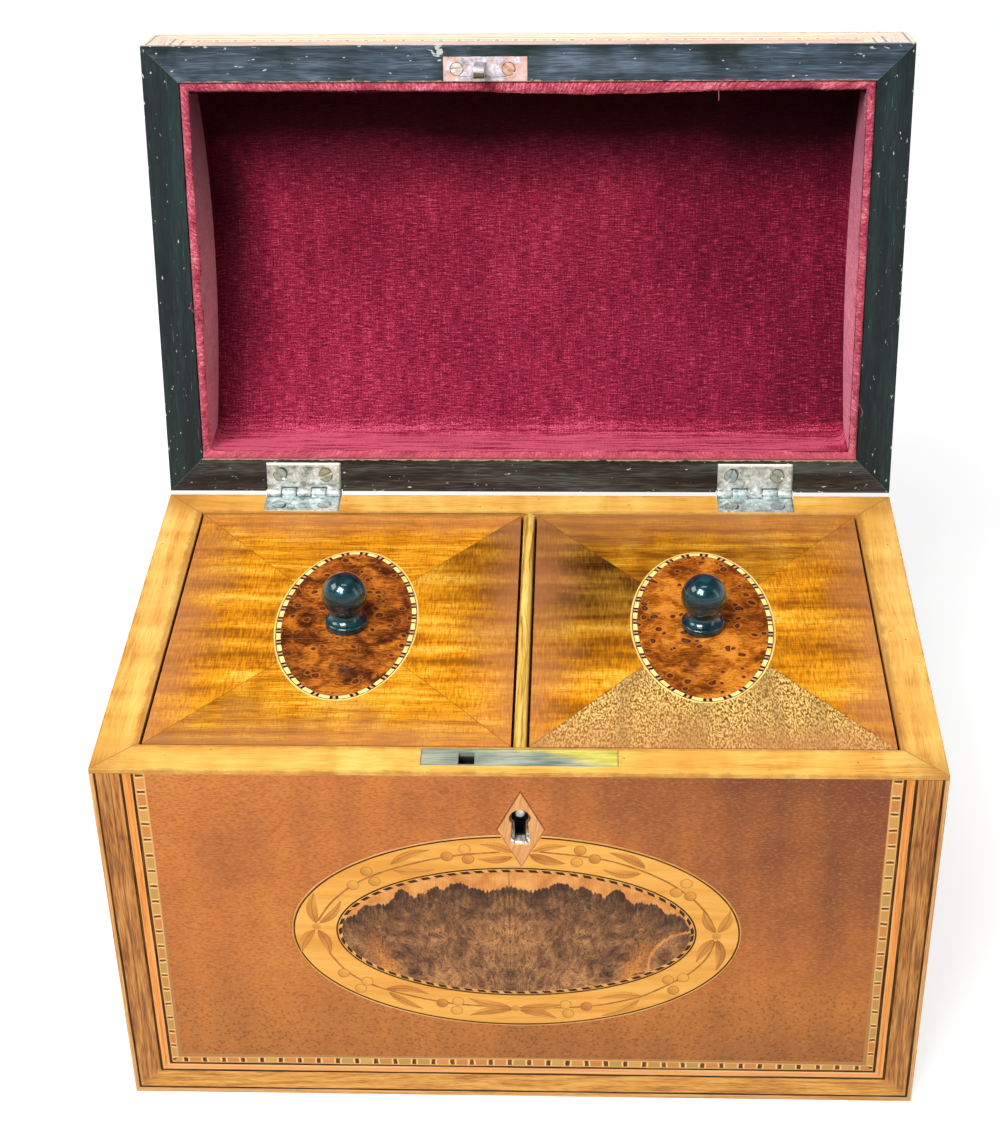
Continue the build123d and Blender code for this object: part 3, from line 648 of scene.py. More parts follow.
hinge_metal = {}
for part, on_lid in (("case", False), ("lid", True)):
    material, n = new_finish(f"tarnished_{part}_hinge", Metallic=0.6)
    place = place_mm(n, on_lid)
    y = n("SeparateXYZ", place, out="Y")
    if on_lid:
        tones = ((0.36, "#82867A"), (0.44, "#AAB0AA"), (0.54, "#C6CCC6"), (0.66, "#EEF2EE"))
    else:
        tones = ((0.36, "#76898B"), (0.44, "#A2B4B4"), (0.54, "#C0CDCA"), (0.66, "#E9EFEA"))
    noise = {"Detail": 5.0, "Roughness": 0.65, "Distortion": 0.4}
    stain, colour, gloss = tarnish(n, place, 1.8, tones, (0.35, 0.65, 0.6, 0.4), **noise)
    if on_lid:
        # Painted highlight: a near-white strip along the bevel at the inner end of the leaf
        bevel = n("MapRange", y, 51.1, 50.8)
        colour = n("Mix RGBA", bevel, colour, "#FFFFFC")
    # Painted shade: dark lines at both ends of each leaf, in the gap where it meets the wood, 9.9 mm from its
    # middle at x = -59.5 or 59.5
    x = n("SeparateXYZ", place, out="X")
    from_leaf = n("SUBTRACT", n("ABSOLUTE", x), 59.5)
    dirt_and_gap_shade = n("MapRange", n("ABSOLUTE", from_leaf), 9.45, 9.8, 0, 0.6)
    colour = n("Mix RGBA", dirt_and_gap_shade, colour, "#4E5650")
    wire(material, colour, roughness=gloss, height=stain, depth=0.06)
    hinge_metal[part] = material

# %% [markdown]
# The link plate has lost its tin towards its ends, where copper shows, and the tip of its link is dark with
# grease. The lock's top plate turns from grey to brass along a slanting line, its brass painted pale and bright as
# a painted highlight.

# %% Link plate, top plate of the lock, and the works
link_metal, n = new_finish("worn_tinned_link_plate", Metallic=0.5)
place = place_mm(n, lid=True)
x, y, z = n("SeparateXYZ", place, out=[*"XYZ"])
tones = ((0.34, "#8A8284"), (0.45, "#B4ACB2"), (0.56, "#D0CAD2"), (0.68, "#F4F1F4"))
stain, colour, gloss = tarnish(n, place, 1.6, tones, (0.35, 0.65, 0.6, 0.45), Detail=5.0, Roughness=0.65)
copper = n("TexNoise", n("VectorMath ADD", place, (9, 4, 0)), Scale=1 / 3.0, Detail=5.0)
from_middle = n("ABSOLUTE", n("ADD", x, 10.8))
copper = n("MapRange", n("MULTIPLY_ADD", from_middle, 0.03, copper), 0.66, 0.76, 0, 0.62)
colour = n("Mix RGBA", copper, colour, "#DCA088")
tip = n("MapRange", z, 94.0, 93.6)
grease = n("MapRange", n("MULTIPLY_ADD", stain, 2.0, y), -52.3, -51.8)
tip = n("MULTIPLY", tip, grease)
colour = n("Mix RGBA", tip, colour, "#5C5636")
wire(link_metal, colour, roughness=gloss, height=stain, depth=0.06)

selvedge_metal, n = new_finish("tarnished_brass_selvedge", Metallic=0.4)
place = place_mm(n)
x, y = n("SeparateXYZ", place, out=[*"XY"])
brushed = stretched(n, place, (7, 0.35, 1), Detail=3.0, Distortion=0.3)
patch = stretched(n, place, (10, 2.6, 1), turn=(0, 0, 0.12), Detail=4.0)
steel_tone = n("MULTIPLY_ADD", brushed, 0.5, n("MULTIPLY", patch, 0.5))
steel = n("ValToRGB", steel_tone, stops=((0.38, "#788A80"), (0.5, "#A5B09A"), (0.62, "#CDD2B8")))
# Brass where the tin has worn off, its stops painted pale and bright as a painted highlight along the brushing
brass = n("ValToRGB", steel_tone, stops=((0.38, "#C2B048"), (0.5, "#E8DC5C"), (0.62, "#FFF78E")))
slant = n("MULTIPLY_ADD", y, 3.4, x)
to_brass = n("MapRange", n("MULTIPLY_ADD", patch, 24.0, slant), -160.0, -151.0)
colour = n("Mix RGBA", to_brass, steel, brass)
# Painted shade: darker all round the edge of the plate, 44 by 6 mm about (0.6, -52.9), where it is let into the
# wood
offset = n("VectorMath SUBTRACT", place, (0.6, -52.9, 0))
offset = n("VectorMath SUBTRACT", n("VectorMath ABSOLUTE", offset), (22.0, 3.0, 0))
past_x, past_y = n("SeparateXYZ", offset, out=[*"XY"])
painted_edge_shade = n("MapRange", n("MAXIMUM", past_x, past_y), -0.4, -0.1, 0, 0.6)
colour = n("Mix RGBA", painted_edge_shade, colour, "#55523A")
gloss = n("MapRange", brushed, 0.3, 0.7, 0.6, 0.4)
wire(selvedge_metal, colour, roughness=gloss, height=brushed, depth=0.03)

lock_steel, n = new_finish("oiled_lock_steel", Metallic=1.0)
tones = ((0.36, "#77736E"), (0.52, "#A9A6A0"), (0.66, "#D2D0CA"))
stain, colour, gloss = tarnish(n, place_mm(n), 3, tones, (0.3, 0.7, 0.5, 0.35), Detail=4.0)
wire(lock_steel, colour, roughness=gloss, height=stain, depth=0.04)

# %% [markdown]
# ## Give the solid pieces their finishes
#
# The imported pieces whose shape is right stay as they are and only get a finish. Real edges are never sharp: a
# Weld modifier joins the loose triangles and a Bevel rounds the edges by a few tenths of a millimetre, which is
# enough to catch a thin line of light.


# %% Dress the solid pieces
def dress(material, *names, soften=0.0):
    """Put one finish on the named solid pieces and round their edges by soften mm."""
    for name in names:
        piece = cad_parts[name]
        piece.data.materials.clear()
        piece.data.materials.append(material)
        if soften:
            weld = piece.modifiers.new("weld", "WELD")
            weld.merge_threshold = 1e-6
            bevel = piece.modifiers.new("worn_edges", "BEVEL")
            bevel.width, bevel.segments = soften * MM, 2
            bevel.limit_method, bevel.angle_limit = "ANGLE", radians(50)
            bevel.harden_normals = True


sides = ("front", "back", "left", "right")
dress(fleck_veneer, "front_veneer", soften=0.25)
dress(plain_veneers["case"], "back_veneer", "left_veneer", "right_veneer", soften=0.2)
lid_veneers = [f"lid_{side}_veneer" for side in sides]
dress(plain_veneers["lid"], "lid_top_veneer", *lid_veneers)
dress(carcass["case"], "bottom_board", *[f"{side}_wall" for side in sides])
dress(carcass["lid"], "lid_top_board", *[f"lid_{side}_wall" for side in sides])
dress(satin_facing, "case_rim_facing", soften=0.25)
dress(boxwood, "divider")
dress(ring_satinwood, "front_oval_ring")
dress(panel_burr, "front_oval_panel")
dress(diamond_wood, "escutcheon", soften=0.12)
dress(worn_black, "lid_rim_facing", soften=0.3)
for side in INNER_LIDS:
    dress(quartered[side], f"{side}_inner_lid_veneer")
    dress(burr_yew[side], f"{side}_inner_lid_oval")
    dress(inner_board, f"{side}_inner_lid_board", soften=0.2)
    dress(cedar, f"{side}_compartment_lining")
    dress(tin_sheet, f"{side}_tin_box")
    dress(hinge_metal["case"], f"{side}_hinge_lower_leaf", f"{side}_hinge_pin", soften=0.15)
    dress(hinge_metal["lid"], f"{side}_hinge_upper_leaf", soften=0.15)
dress(link_metal, "strike_plate", soften=0.12)
dress(selvedge_metal, "lock_selvedge", soften=0.12)
works = ("case", "back_plate", "key_pin", "bolt_stump", "tumbler_pin", "spring", "screws", "bolt", "tumbler")
dress(lock_steel, *[f"lock_{part}" for part in works])

# %% [markdown]
# ## Surfaces from grids
#
# Every new piece is a grid of points: rows along it, columns across it, worked out as whole arrays. One
# function turns any number of grids into a single mesh, with a UV map in millimetres that the finishes read, and
# makes it ride on its body.


# %% Grids into a mesh
def add_piece(name, sheets, material, body, smooth=False, tones=None):
    """One mesh from grids of points in mm, shaped (rows, columns, 3) or (many, rows, columns, 3), each with UVs.

    Neighbouring grid points make quads; equal points are merged, so closed shapes have no seam.
    tones, one number per grid, is kept as the attribute "tone".
    """
    points, uvs, quads, tone = [], [], [], []
    start = 0
    for i, (place, uv) in enumerate(sheets):
        rows, columns = place.shape[-3:-1]
        place = place.reshape(-1, rows, columns, 3)
        index = start + np.arange(len(place) * rows * columns).reshape(-1, rows, columns)
        corners = index[:, :-1, :-1], index[:, 1:, :-1], index[:, 1:, 1:], index[:, :-1, 1:]
        quads.append(np.stack(corners, -1).reshape(-1, 4))
        points.append(place.reshape(-1, 3))
        uvs.append(np.broadcast_to(uv, (*place.shape[:3], 2)).reshape(-1, 2))
        tone.append(np.full(index.size, tones[i] if tones is not None else 0.5))
        start += index.size
    points, uvs, quads = (np.concatenate(parts) for parts in (points, uvs, quads))
    mesh = bpy.data.meshes.new(name)
    mesh.from_pydata((points * MM).tolist(), [], quads.tolist())
    mesh.uv_layers.new(name="mm").data.foreach_set("uv", uvs[quads.ravel()].astype(np.float32).ravel())
    mesh.attributes.new("tone", "FLOAT", "POINT").data.foreach_set("value", np.concatenate(tone))
    mesh.polygons.foreach_set("use_smooth", [smooth] * len(quads))
    mesh.materials.append(material)
    mesh.validate()
    piece = bpy.data.objects.new(name, mesh)
    bpy.context.scene.collection.objects.link(piece)
    weld = piece.modifiers.new("close_seams", "WELD")
    weld.merge_threshold = 2e-6
    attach(piece, body)
    print(f"{name}: {len(quads)} faces")
    return piece


# %% [markdown]
# ## Lip of the satinwood rim
#
# At the two ends the satinwood facing stands out a little over the inner lids and hides most of the gap beside
# them. The lip is a small block carried along the opening: a closed cross-section, with its upper inner edge
# taken off, and two rows.

# %% Lips at the two ends of the opening
def lip(side, outer, inner):
    """Cross-section from the facing at x = outer to the edge at x = inner, drawn at both ends of the opening."""
    top, low, chamfer = CASE_TOP + 0.02, CASE_TOP - 1.2, 0.1
    edge = [(inner + side * chamfer, top), (inner, top - chamfer)]
    x, z = np.array([(outer, low), (outer, top), *edge, (inner, low), (outer, low)]).T
    points = np.array([np.stack([x, 0 * x + y, z], -1) for y in (-49.3 * side, 49.3 * side)])
    return points, points[..., :2]


lips = [lip(-1, -86.05, -85.2), lip(1, 86.05, 85.3)]
add_piece("rim_inner_lips", lips, satin_facing, "case")

# %% [markdown]
# ## Slotted screws
#
# Each hinge leaf is held by two wood screws and the link plate by two more. Their heads were filed by hand, so
# no two slots point the same way. A head is a disc drawn in polar rows with a little crown; the slot is cut by
# lowering every point that lies within its half width, and the last rows turn down over a rounded edge into the
# countersink. A dark ring of shadow is left round each head.

# %% Screw heads
def screw_head(centre, radius, slot_angle, down=False):
    """Polar grid: height = crown (1 - r^2), minus the slot where |distance from its line| < 0.24 mm.

    down turns the head over, for screws that look downwards when the lid is shut.
    """
    r = np.concatenate([np.linspace(0.0, 0.86, 15), [0.93, 0.98, 1.0, 1.0, 0.6]]) * radius
    drop = np.concatenate([np.zeros(15), [-0.03, -0.1, -0.2, -0.45, -0.9]])
    t = np.linspace(0, 2 * np.pi, 73)
    rr, tt = np.meshgrid(r, t, indexing="ij")
    x, y = rr * np.cos(tt), rr * np.sin(tt)
    height = 0.1 * (1 - (rr / radius) ** 2) + drop[:, None]
    off_slot = np.abs(-x * sin(slot_angle) + y * cos(slot_angle))
    sunk = np.clip((0.3 - off_slot) / 0.08, 0, 1) * 0.42
    height = np.where(drop[:, None] > -0.3, height - sunk, height)
    sign = -1 if down else 1
    points = np.stack([centre[0] + x, centre[1] + y * sign, centre[2] + height * sign], -1)
    return points, np.stack([x, y], -1) / radius


screws = {"strike": [], "upper": [], "lower": []}
for x, y, angle in ((-17.0, -52.4, 0.12), (-4.2, -52.4, 2.45)):
    screws["strike"].append(screw_head((x, y, LID_RIM - 0.02), 1.75, angle, down=True))
for x, radius, upper_angle, lower_angle in (
    (-59.3 - 6.3, 1.9, 2.3, 0.2), (-59.3 + 5.8, 2.0, 0.4, 2.5),
    (59.7 - 6.3, 1.9, 1.2, 1.9), (59.7 + 5.8, 2.0, 2.7, 0.6),
):
    screws["upper"].append(screw_head((x, 53.7, LID_RIM - 0.05), radius, upper_angle, down=True))
    screws["lower"].append(screw_head((x, 53.4, CASE_TOP + 0.05), 1.95, lower_angle))

# %% [markdown]
# The heads have lived apart from their plates: some kept their tin, some went brown, one is nearly bare brass.
# Each head carries a random "tone", and the finish turns that into one of these metals, with dirt in the slot.

# %% Finish of the screws, and where they sit
screw_metal, n = new_finish("old_screw_metal", Metallic=0.6)
uv = n("UVMap", uv_map="mm")
tone = n("Attribute", attribute_name="tone", out="Fac")
stain = n("TexNoise", uv, Scale=1 / 0.6, Detail=4.0, Roughness=0.65)
kind = n("ValToRGB", tone, stops=((0.0, "#CFC8C0"), (0.35, "#D0A48C"), (0.65, "#A39660"), (1.0, "#A3B3B6")))
dirt_and_gap_shade = n("MapRange", stain, 0.5, 0.66, 0, 0.6)
colour = n("Mix RGBA", dirt_and_gap_shade, kind, "#5E5644")
# Painted shade: a dark ring round the edge of each head, where it turns down into its hole
edge = n("MapRange", n("VectorMath LENGTH", uv), 0.8, 0.92, 0, 0.85)
colour = n("Mix RGBA", edge, colour, "#3A352C")
gloss = n("MapRange", stain, 0.35, 0.65, 0.4, 0.65)
wire(screw_metal, colour, roughness=gloss, height=stain, depth=0.05)

for key in ("strike", "upper"):
    screws[key] = [(swing(p), uv) for p, uv in screws[key]]
heads = add_piece("link_plate_screws", screws["strike"], screw_metal, "lid", True, (0.05, 0.33))
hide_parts("strike_screws")
slot, tones = "tarnished_hinge_metal", (0.9, 0.76, 1.0, 0.85)
heads = add_piece("upper_leaf_screws", screws["upper"], screw_metal, "lid", True, tones)
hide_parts("hinge_upper_screws")
tones = (1.0, 0.95, 0.9, 1.0)
heads = add_piece("lower_leaf_screws", screws["lower"], screw_metal, "case", True, tones)
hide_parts("hinge_lower_screws")

# %% [markdown]
# ## Faces of the box as drawing boards
#
# Inlay is drawn on a face with two coordinates, right and up as seen from outside, plus a height above the
# surface. One small function per face carries such a drawing to its place, bending it over the dome for the top
# of the lid and swinging it open for all of the lid's faces.


# %% Drawing boards
def on_front(p):
    """Right is x, up is z, out is -y."""
    return np.stack([p[..., 0], -HALF_D - p[..., 2], p[..., 1]], -1)


def on_back(p):
    """Seen from behind: right is -x, up is z, out is +y."""
    return np.stack([-p[..., 0], HALF_D + p[..., 2], p[..., 1]], -1)


def on_left(p):
    """Seen from the left end: right is -y, up is z, out is -x."""
    return np.stack([-HALF_W - p[..., 2], -p[..., 0], p[..., 1]], -1)


def on_right(p):
    """Seen from the right end: right is y, up is z, out is +x."""
    return np.stack([HALF_W + p[..., 2], p[..., 0], p[..., 1]], -1)


def on_dome(p):
    """Seen from above the shut lid: right is x, up is the arc length from the crown, wrapped round the dome."""
    angle, radius = p[..., 1] / DOME_R, DOME_R + p[..., 2]
    return np.stack([p[..., 0], radius * np.sin(angle), DOME_Z + radius * np.cos(angle)], -1)


def on_inner_lid(p):
    """Seen from above: right is x, up is y, out is +z from the top of the inner lids."""
    return np.stack([p[..., 0], p[..., 1], INNER_TOP + p[..., 2]], -1)


def carried(board, sheets):
    """The sheets with their points carried by board; their UV maps stay in the drawing."""
    return [(board(p), uv) for p, uv in sheets]


def swung(board):
    """The same board on the lid, which is swung open after the drawing is carried to it."""
    return lambda p: swing(board(p))


# %% [markdown]
# ## Lines and bands
#
# Stringing is a thin square stick of wood glued in a groove, scraped level and polished. After two hundred years
# the lines stand up a hair, because wood shrinks across its grain and hardly along it. Each strip is a ribbon
# between two drawn lines: its edges are sunk in the surface, and its top stands 0.04 mm proud. A ribbon's UV map
# measures millimetres along it and across it, so one finish can draw a chequer that turns every corner.


# %% A ribbon between two drawn lines
def run_of(line):
    """How far along the line each of its points lies: the sum of the steps before it."""
    return np.concatenate([[0], np.cumsum(np.linalg.norm(np.diff(line, axis=0), axis=-1))])


def ribbon(first, second, lift=0.04, edge=0.06, straight=False):
    """Strip whose cross-section runs straight from one line to the other; heights are (sunk, lift, lift, sunk)."""
    width = np.linalg.norm(second - first, axis=-1)[:, None]
    share = np.concatenate([0 * width, edge / width, 1 - edge / width, 0 * width + 1], 1)[..., None]
    flat = first[:, None] * (1 - share) + second[:, None] * share
    height = np.broadcast_to(np.array([-0.05, lift, lift, -0.05])[None, :, None], (*flat.shape[:2], 1))
    along = run_of((first + second) / 2)[:, None] + 0 * share[..., 0]
    if straight:
        direction = (first[-1] - first[0]) / np.linalg.norm(first[-1] - first[0])
        along = flat @ direction
    uv = np.stack([along, share[..., 0] * width], -1)
    points = np.concatenate([flat, height], -1)
    step, over = flat[1, 0] - flat[0, 0], flat[0, 1] - flat[0, 0]
    if step[0] * over[1] - step[1] * over[0] < 0:
        points, uv = points[::-1], uv[::-1]
    return points, uv


def drawn_line(start, end, phase, count=60):
    """Straight line of points that wavers by a few hundredths of a mm, as a hand-cut edge does."""
    t = np.linspace(0, 1, count)[:, None]
    start, end = np.array(start, float), np.array(end, float)
    line = start + (end - start) * t
    direction = (end - start) / np.linalg.norm(end - start)
    length = t[:, 0] * np.linalg.norm(end - start)
    waver = 0.035 * np.sin(length / 11 + 5 * phase) + 0.025 * np.sin(length / 4.3 + 9 * phase)
    waver *= np.minimum(1, np.minimum(length, length[-1] - length) / 6)
    return line + waver[:, None] * np.array([-direction[1], direction[0]])


def border(board, upright, level, foot, head):
    """Ribbons that follow the edges of a rectangular board, (left, right, bottom, top), mitred at its corners.

    upright and level are the strip's (outer, inner) distances from the sides and from the foot or head.
    """
    left, right_, bottom, top = board
    ends = []
    for side_in, level_in in zip(upright, level):
        low = bottom + level_in * foot
        high = top - level_in * head
        ends.append((left + side_in, right_ - side_in, low, high, side_in))
    (l0, r0, b0, t0, k0), (l1, r1, b1, t1, k1) = ends
    lines = [((l0, b0), (l0, t0), (l1, b1), (l1, t1)), ((r0, b0), (r0, t0), (r1, b1), (r1, t1))]
    if foot:
        lines.append(((l0, b0), (r0, b0), (l1, b1), (r1, b1)))
    if head:
        lines.append(((l0, t0), (r0, t0), (l1, t1), (r1, t1)))
    return [ribbon(drawn_line(a, b, k0), drawn_line(c, d, k1), straight=True) for a, b, c, d in lines]


# %% [markdown]
# The edge of the box carries seven strips side by side: a pale edge line, a black line, a broad banding, a black
# line, a bright satinwood band, a black line and a chequered string. Their widths were measured on the
# photograph, and they are a little wider along the foot than up the sides.

# %% The stack of strips, as distances from the edge in mm
STACK = [
    ("pale_edge_line", (0.0, 0.95), (0.0, 1.4)),
    ("black_line", (0.95, 1.5), (1.4, 1.95)),
    ("broad_banding", (1.5, 6.8), (1.95, 7.35)),
    ("black_line", (6.8, 7.45), (7.35, 7.95)),
    ("bright_band", (7.45, 9.3), (7.95, 9.75)),
    ("black_line", (9.3, 9.95), (9.75, 10.3)),
    ("chequer_string", (9.95, 12.6), (10.3, 13.2)),
]

# %% [markdown]
# Now the finishes of the strips. They read the ribbons' UV map: the first number runs along the strip, the
# second across it.

# %% Finishes of the lines and bands
strip_finish = {}

material, n = new_finish("polished_boxwood_line", **shellac())
along = n("UVMap", uv_map="mm")
tones = ("#BE7F42", "#DA9E5E", "#E9B57A")
colour, pores = figured_wood(n, along, tones, stripe=(30, 0.5), pore=(3, 0.2), wander=0.3)
wire(material, colour, height=pores, depth=0.01)
strip_finish["pale_edge_line"] = material

material, n = new_finish("polished_ebony_line", **shellac(0.08))
grain = stretched(n, n("UVMap", uv_map="mm"), (6, 0.3, 1), Detail=3.0)
colour = n("ValToRGB", grain, stops=((0.38, "#2A1804"), (0.55, "#4A300A"), (0.7, "#7A5418")))
wire(material, colour, height=grain, depth=0.01)
strip_finish["black_line"] = material

material, n = new_finish("polished_broad_banding", **shellac())
uv = n("UVMap", uv_map="mm")
v = n("SeparateXYZ", uv, out="Y")
tone = n("Attribute", attribute_name="tone", out="Fac")
side_tones = ("#84481C", "#A86A30", "#BE7E3C", "#CE924C")
colour, pores = figured_wood(n, uv, side_tones, stripe=(16, 0.9), pore=(4, 0.22), wander=1.5, fine=0.35)
foot_tones = ("#B06F2C", "#D08E3E", "#E0A048", "#EAB05A")
foot, _ = figured_wood(n, uv, foot_tones, stripe=(12, 1.1), pore=(2.5, 0.25), wander=1.5, fine=0.35)
colour = n("Mix RGBA", tone, colour, foot)
# Along its middle the glue of two strips shows as a broken dark line, except along the foot
sway = n("TexNoise", uv, Scale=1 / 9, Detail=3.0)
off_line = n("ABSOLUTE", n("SUBTRACT", n("MULTIPLY_ADD", sway, 1.2, v), 3.6))
thin_line = n("MULTIPLY", n("MapRange", off_line, 0.2, 0.1, 0, 0.6), n("MapRange", tone, 0, 1, 1.0, 0.0))
colour = n("Mix RGBA", thin_line, colour, "#6A3A16")
# Up the sides the outer part is stained grey-green here and there, where the varnish has lifted
stain = stretched(n, uv, (14, 3, 1), Detail=3.0)
stain = n("MULTIPLY", n("MapRange", stain, 0.56, 0.7, 0, 0.6), n("SUBTRACT", 1.0, tone))
colour = n("Mix RGBA", stain, colour, "#6E5A34")
wire(material, colour, height=pores, depth=0.03)
strip_finish["broad_banding"] = material

material, n = new_finish("polished_satinwood_band", **shellac())
uv = n("UVMap", uv_map="mm")
v = n("SeparateXYZ", uv, out="Y")
tone = n("Attribute", attribute_name="tone", out="Fac")
tones = ("#D0792C", "#E48C3C", "#F09A48", "#F6A858")
colour, pores = figured_wood(n, uv, tones, stripe=(40, 0.7), pore=(5, 0.22), wander=0.5)
off_middle = n("ABSOLUTE", n("SUBTRACT", v, 0.93))
sides_pale = n("MapRange", off_middle, 0.72, 0.86, 0, 0.35)
paler = n("MULTIPLY_ADD", tone, 0.35, sides_pale, use_clamp=True)
colour = n("Mix RGBA", paler, colour, "#F6C488")
wire(material, colour, height=pores, depth=0.01)
strip_finish["bright_band"] = material

# %% [markdown]
# The chequered string was sliced from a glued block of coloured sticks. Along it, every 4.65 mm, a dark bar
# stands between two thin pale slips, and the longer pieces between are brown, orange or stained green, in fine
# layers. A pale veneer runs along both edges. Up the sides the bars are thin and brown, along the foot they are
# nearly square and black: the strips carry that as their "tone", 0 or 1.

# %% Finish of the chequered string
material, n = new_finish("polished_chequer_string", **shellac(0.12))
uv = n("UVMap", uv_map="mm")
u, v = n("SeparateXYZ", uv, out=[*"XY"])
tone = n("Attribute", attribute_name="tone", out="Fac")
jitter = n("TexNoise", uv, Scale=1 / 1.6, Detail=1.0)
u = n("MULTIPLY_ADD", jitter, 0.5, u)
turns = n("DIVIDE", u, 4.65)
number = n("FLOOR", n("ADD", turns, 0.5))
part = n("FRACT", turns)
off_middle = n("ABSOLUTE", n("SUBTRACT", part, 0.5))
dice = n("TexWhiteNoise", number, noise_dimensions="1D", out="Value")
block_tones = ((0.0, "#C87E40"), (0.3, "#D8904C"), (0.5, "#B29650"), (0.7, "#CC8440"), (0.9, "#CFA458"))
block = n("ValToRGB", dice, stops=block_tones)
layer = n("MapRange", n("SINE", n("MULTIPLY", v, 13.0)), -1.0, 1.0, 0.0, 0.22)
block = n("Mix RGBA", layer, block, "#E8B470")
half_bar = n("MapRange", tone, 0, 1, 0.066, 0.105)
past_bar = n("SUBTRACT", off_middle, half_bar)
slip = n("MapRange", past_bar, 0.1, 0.085)
colour = n("Mix RGBA", slip, block, "#F3C484")
bar = n("MapRange", past_bar, 0.01, -0.008)
dice = n("TexWhiteNoise", n("ADD", number, 77.0), noise_dimensions="1D", out="Value")
brown_bar = n("ValToRGB", dice, stops=((0.0, "#5E3812"), (1.0, "#84501E")))
black_bar = n("ValToRGB", dice, stops=((0.0, "#4A2C0E"), (0.6, "#684018"), (1.0, "#7E5426")))
bar_tone = n("Mix RGBA", tone, brown_bar, black_bar)
colour = n("Mix RGBA", bar, colour, bar_tone)
edge_low = n("MapRange", v, 0.42, 0.34)
edge_high = n("MapRange", v, 2.12, 2.2)
edges = n("MAXIMUM", edge_low, edge_high)
colour = n("Mix RGBA", edges, colour, "#E0A664")
last = n("MapRange", v, 2.52, 2.6, 0, 0.5)
colour = n("Mix RGBA", last, colour, "#6E3A18")
wire(material, colour)
strip_finish["chequer_string"] = material

# %% [markdown]
# All faces of one kind are joined into one piece per finish: all the black lines of the case, all those of the
# lid, and so on. The case has the stack up its sides and along its foot; the lid has it down its sides and along
# its top edge. The lid's two ends are arched, so there the strips follow arcs with the dome's centre.


# %% Lay the banding on every face
def arched(upright, level):
    """Strips on an end of the lid: an arc of radius DOME_R minus the distance from the edge, and two uprights."""
    foot = LID_RIM + FACING
    lines, rims = [], []
    for side_in, level_in in zip(upright, level):
        half, radius = HALF_D - side_in, DOME_R - level_in
        a = np.linspace(-half, half, 121)
        rims.append(np.stack([a, DOME_Z + np.sqrt(radius**2 - a**2)], -1))
        lines.append((half, DOME_Z + (radius**2 - half**2) ** 0.5, side_in))
    (h0, t0, k0), (h1, t1, k1) = lines
    strips = []
    for s in (-1, 1):
        outer_line = drawn_line((s * h0, foot), (s * h0, t0), k0)
        inner_line = drawn_line((s * h1, foot), (s * h1, t1), k1)
        strips.append(ribbon(outer_line, inner_line, straight=True))
    return strips + [ribbon(*rims)]


case_boards = [
    (on_front, (-HALF_W, HALF_W, 0, CASE_TOP - FACING)),
    (on_back, (-HALF_W, HALF_W, 0, CASE_TOP - FACING)),
    (on_left, (-HALF_D, HALF_D, 0, CASE_TOP - FACING)),
    (on_right, (-HALF_D, HALF_D, 0, CASE_TOP - FACING)),
]
eaves = DOME_Z + (DOME_R**2 - HALF_D**2) ** 0.5
arc_half = DOME_R * asin(HALF_D / DOME_R)
for kind in strip_finish:
    case_strips, case_tones, lid_strips, lid_tones = [], [], [], []
    for _, upright_at, level_at in (entry for entry in STACK if entry[0] == kind):
        for board, size in case_boards:
            case_strips += carried(board, border(size, upright_at, level_at, True, False))
            case_tones += [0.0, 0.0, 1.0]
        for board in (on_front, on_back):
            size = (-HALF_W, HALF_W, LID_RIM + FACING, eaves)
            lid_strips += carried(swung(board), border(size, upright_at, upright_at, False, True))
            lid_tones += [0.0, 0.0, 1.0]
        for board in (on_left, on_right):
            lid_strips += carried(swung(board), arched(upright_at, upright_at))
            lid_tones += [0.0, 0.0, 1.0]
        size = (-HALF_W, HALF_W, -arc_half, arc_half)
        lid_strips += carried(swung(on_dome), border(size, upright_at, upright_at, True, True))
        lid_tones += [0.0, 0.0, 1.0, 1.0]
    add_piece(f"case_{kind}", case_strips, strip_finish[kind], "case", tones=case_tones)
    add_piece(f"lid_{kind}", lid_strips, strip_finish[kind], "lid", tones=lid_tones)

# %% [markdown]
# ## Oval strings
#
# The ovals are edged with lines too. A line parallel to an ellipse isn't an ellipse, so each point is moved along
# the true normal. The small ovals on the inner lids have a pale string and, inside it, a ring of dark dashes in
# pairs; the panel on the front has a rope of slanting dashes between dark lines.


# %% Lines parallel to an oval
def oval_line(oval, inset, start=0.0, turn=360.0, count=241):
    """Points of the ellipse (centre, centre, width, height), moved inwards by inset along its normal.

    start and turn, in degrees, give the piece of the ellipse; a turn of 360 closes it.
    """
    centre_a, centre_b, width, height = oval
    t = np.radians(np.linspace(start, start + turn, count))
    a, b = width / 2, height / 2
    normal = np.stack([b * np.cos(t), a * np.sin(t)], -1)
    normal /= np.linalg.norm(normal, axis=-1)[:, None]
    line = np.stack([centre_a + a * np.cos(t), centre_b + b * np.sin(t)], -1) - inset * normal
    if turn == 360.0:
        line[-1] = line[0]
    return line


def oval_string(oval, outer_in, inner_in, **piece):
    """Ribbon between the lines that run outer_in and inner_in mm inside the oval; less than 0 is outside it."""
    return ribbon(oval_line(oval, outer_in, **piece), oval_line(oval, inner_in, **piece))


RING = (-0.6, 53.7, 104.3, 59.3)
PANEL = (-0.6, 53.9, 82.5, 38.7)
SMALL = {side: (knob_x, -0.3, 35.0, 63.5) for side, (_, _, knob_x) in INNER_LIDS.items()}
# The diamond interrupts the ring's outer lines, from 83.5 to 93.4 degrees
BESIDE_DIAMOND = {"start": 93.4, "turn": 350.0}

# %% [markdown]
# The dashes are drawn by their finishes, as the chequer was: the fraction of the distance along the string,
# divided by the length of one pattern, says where in the pattern a point lies.

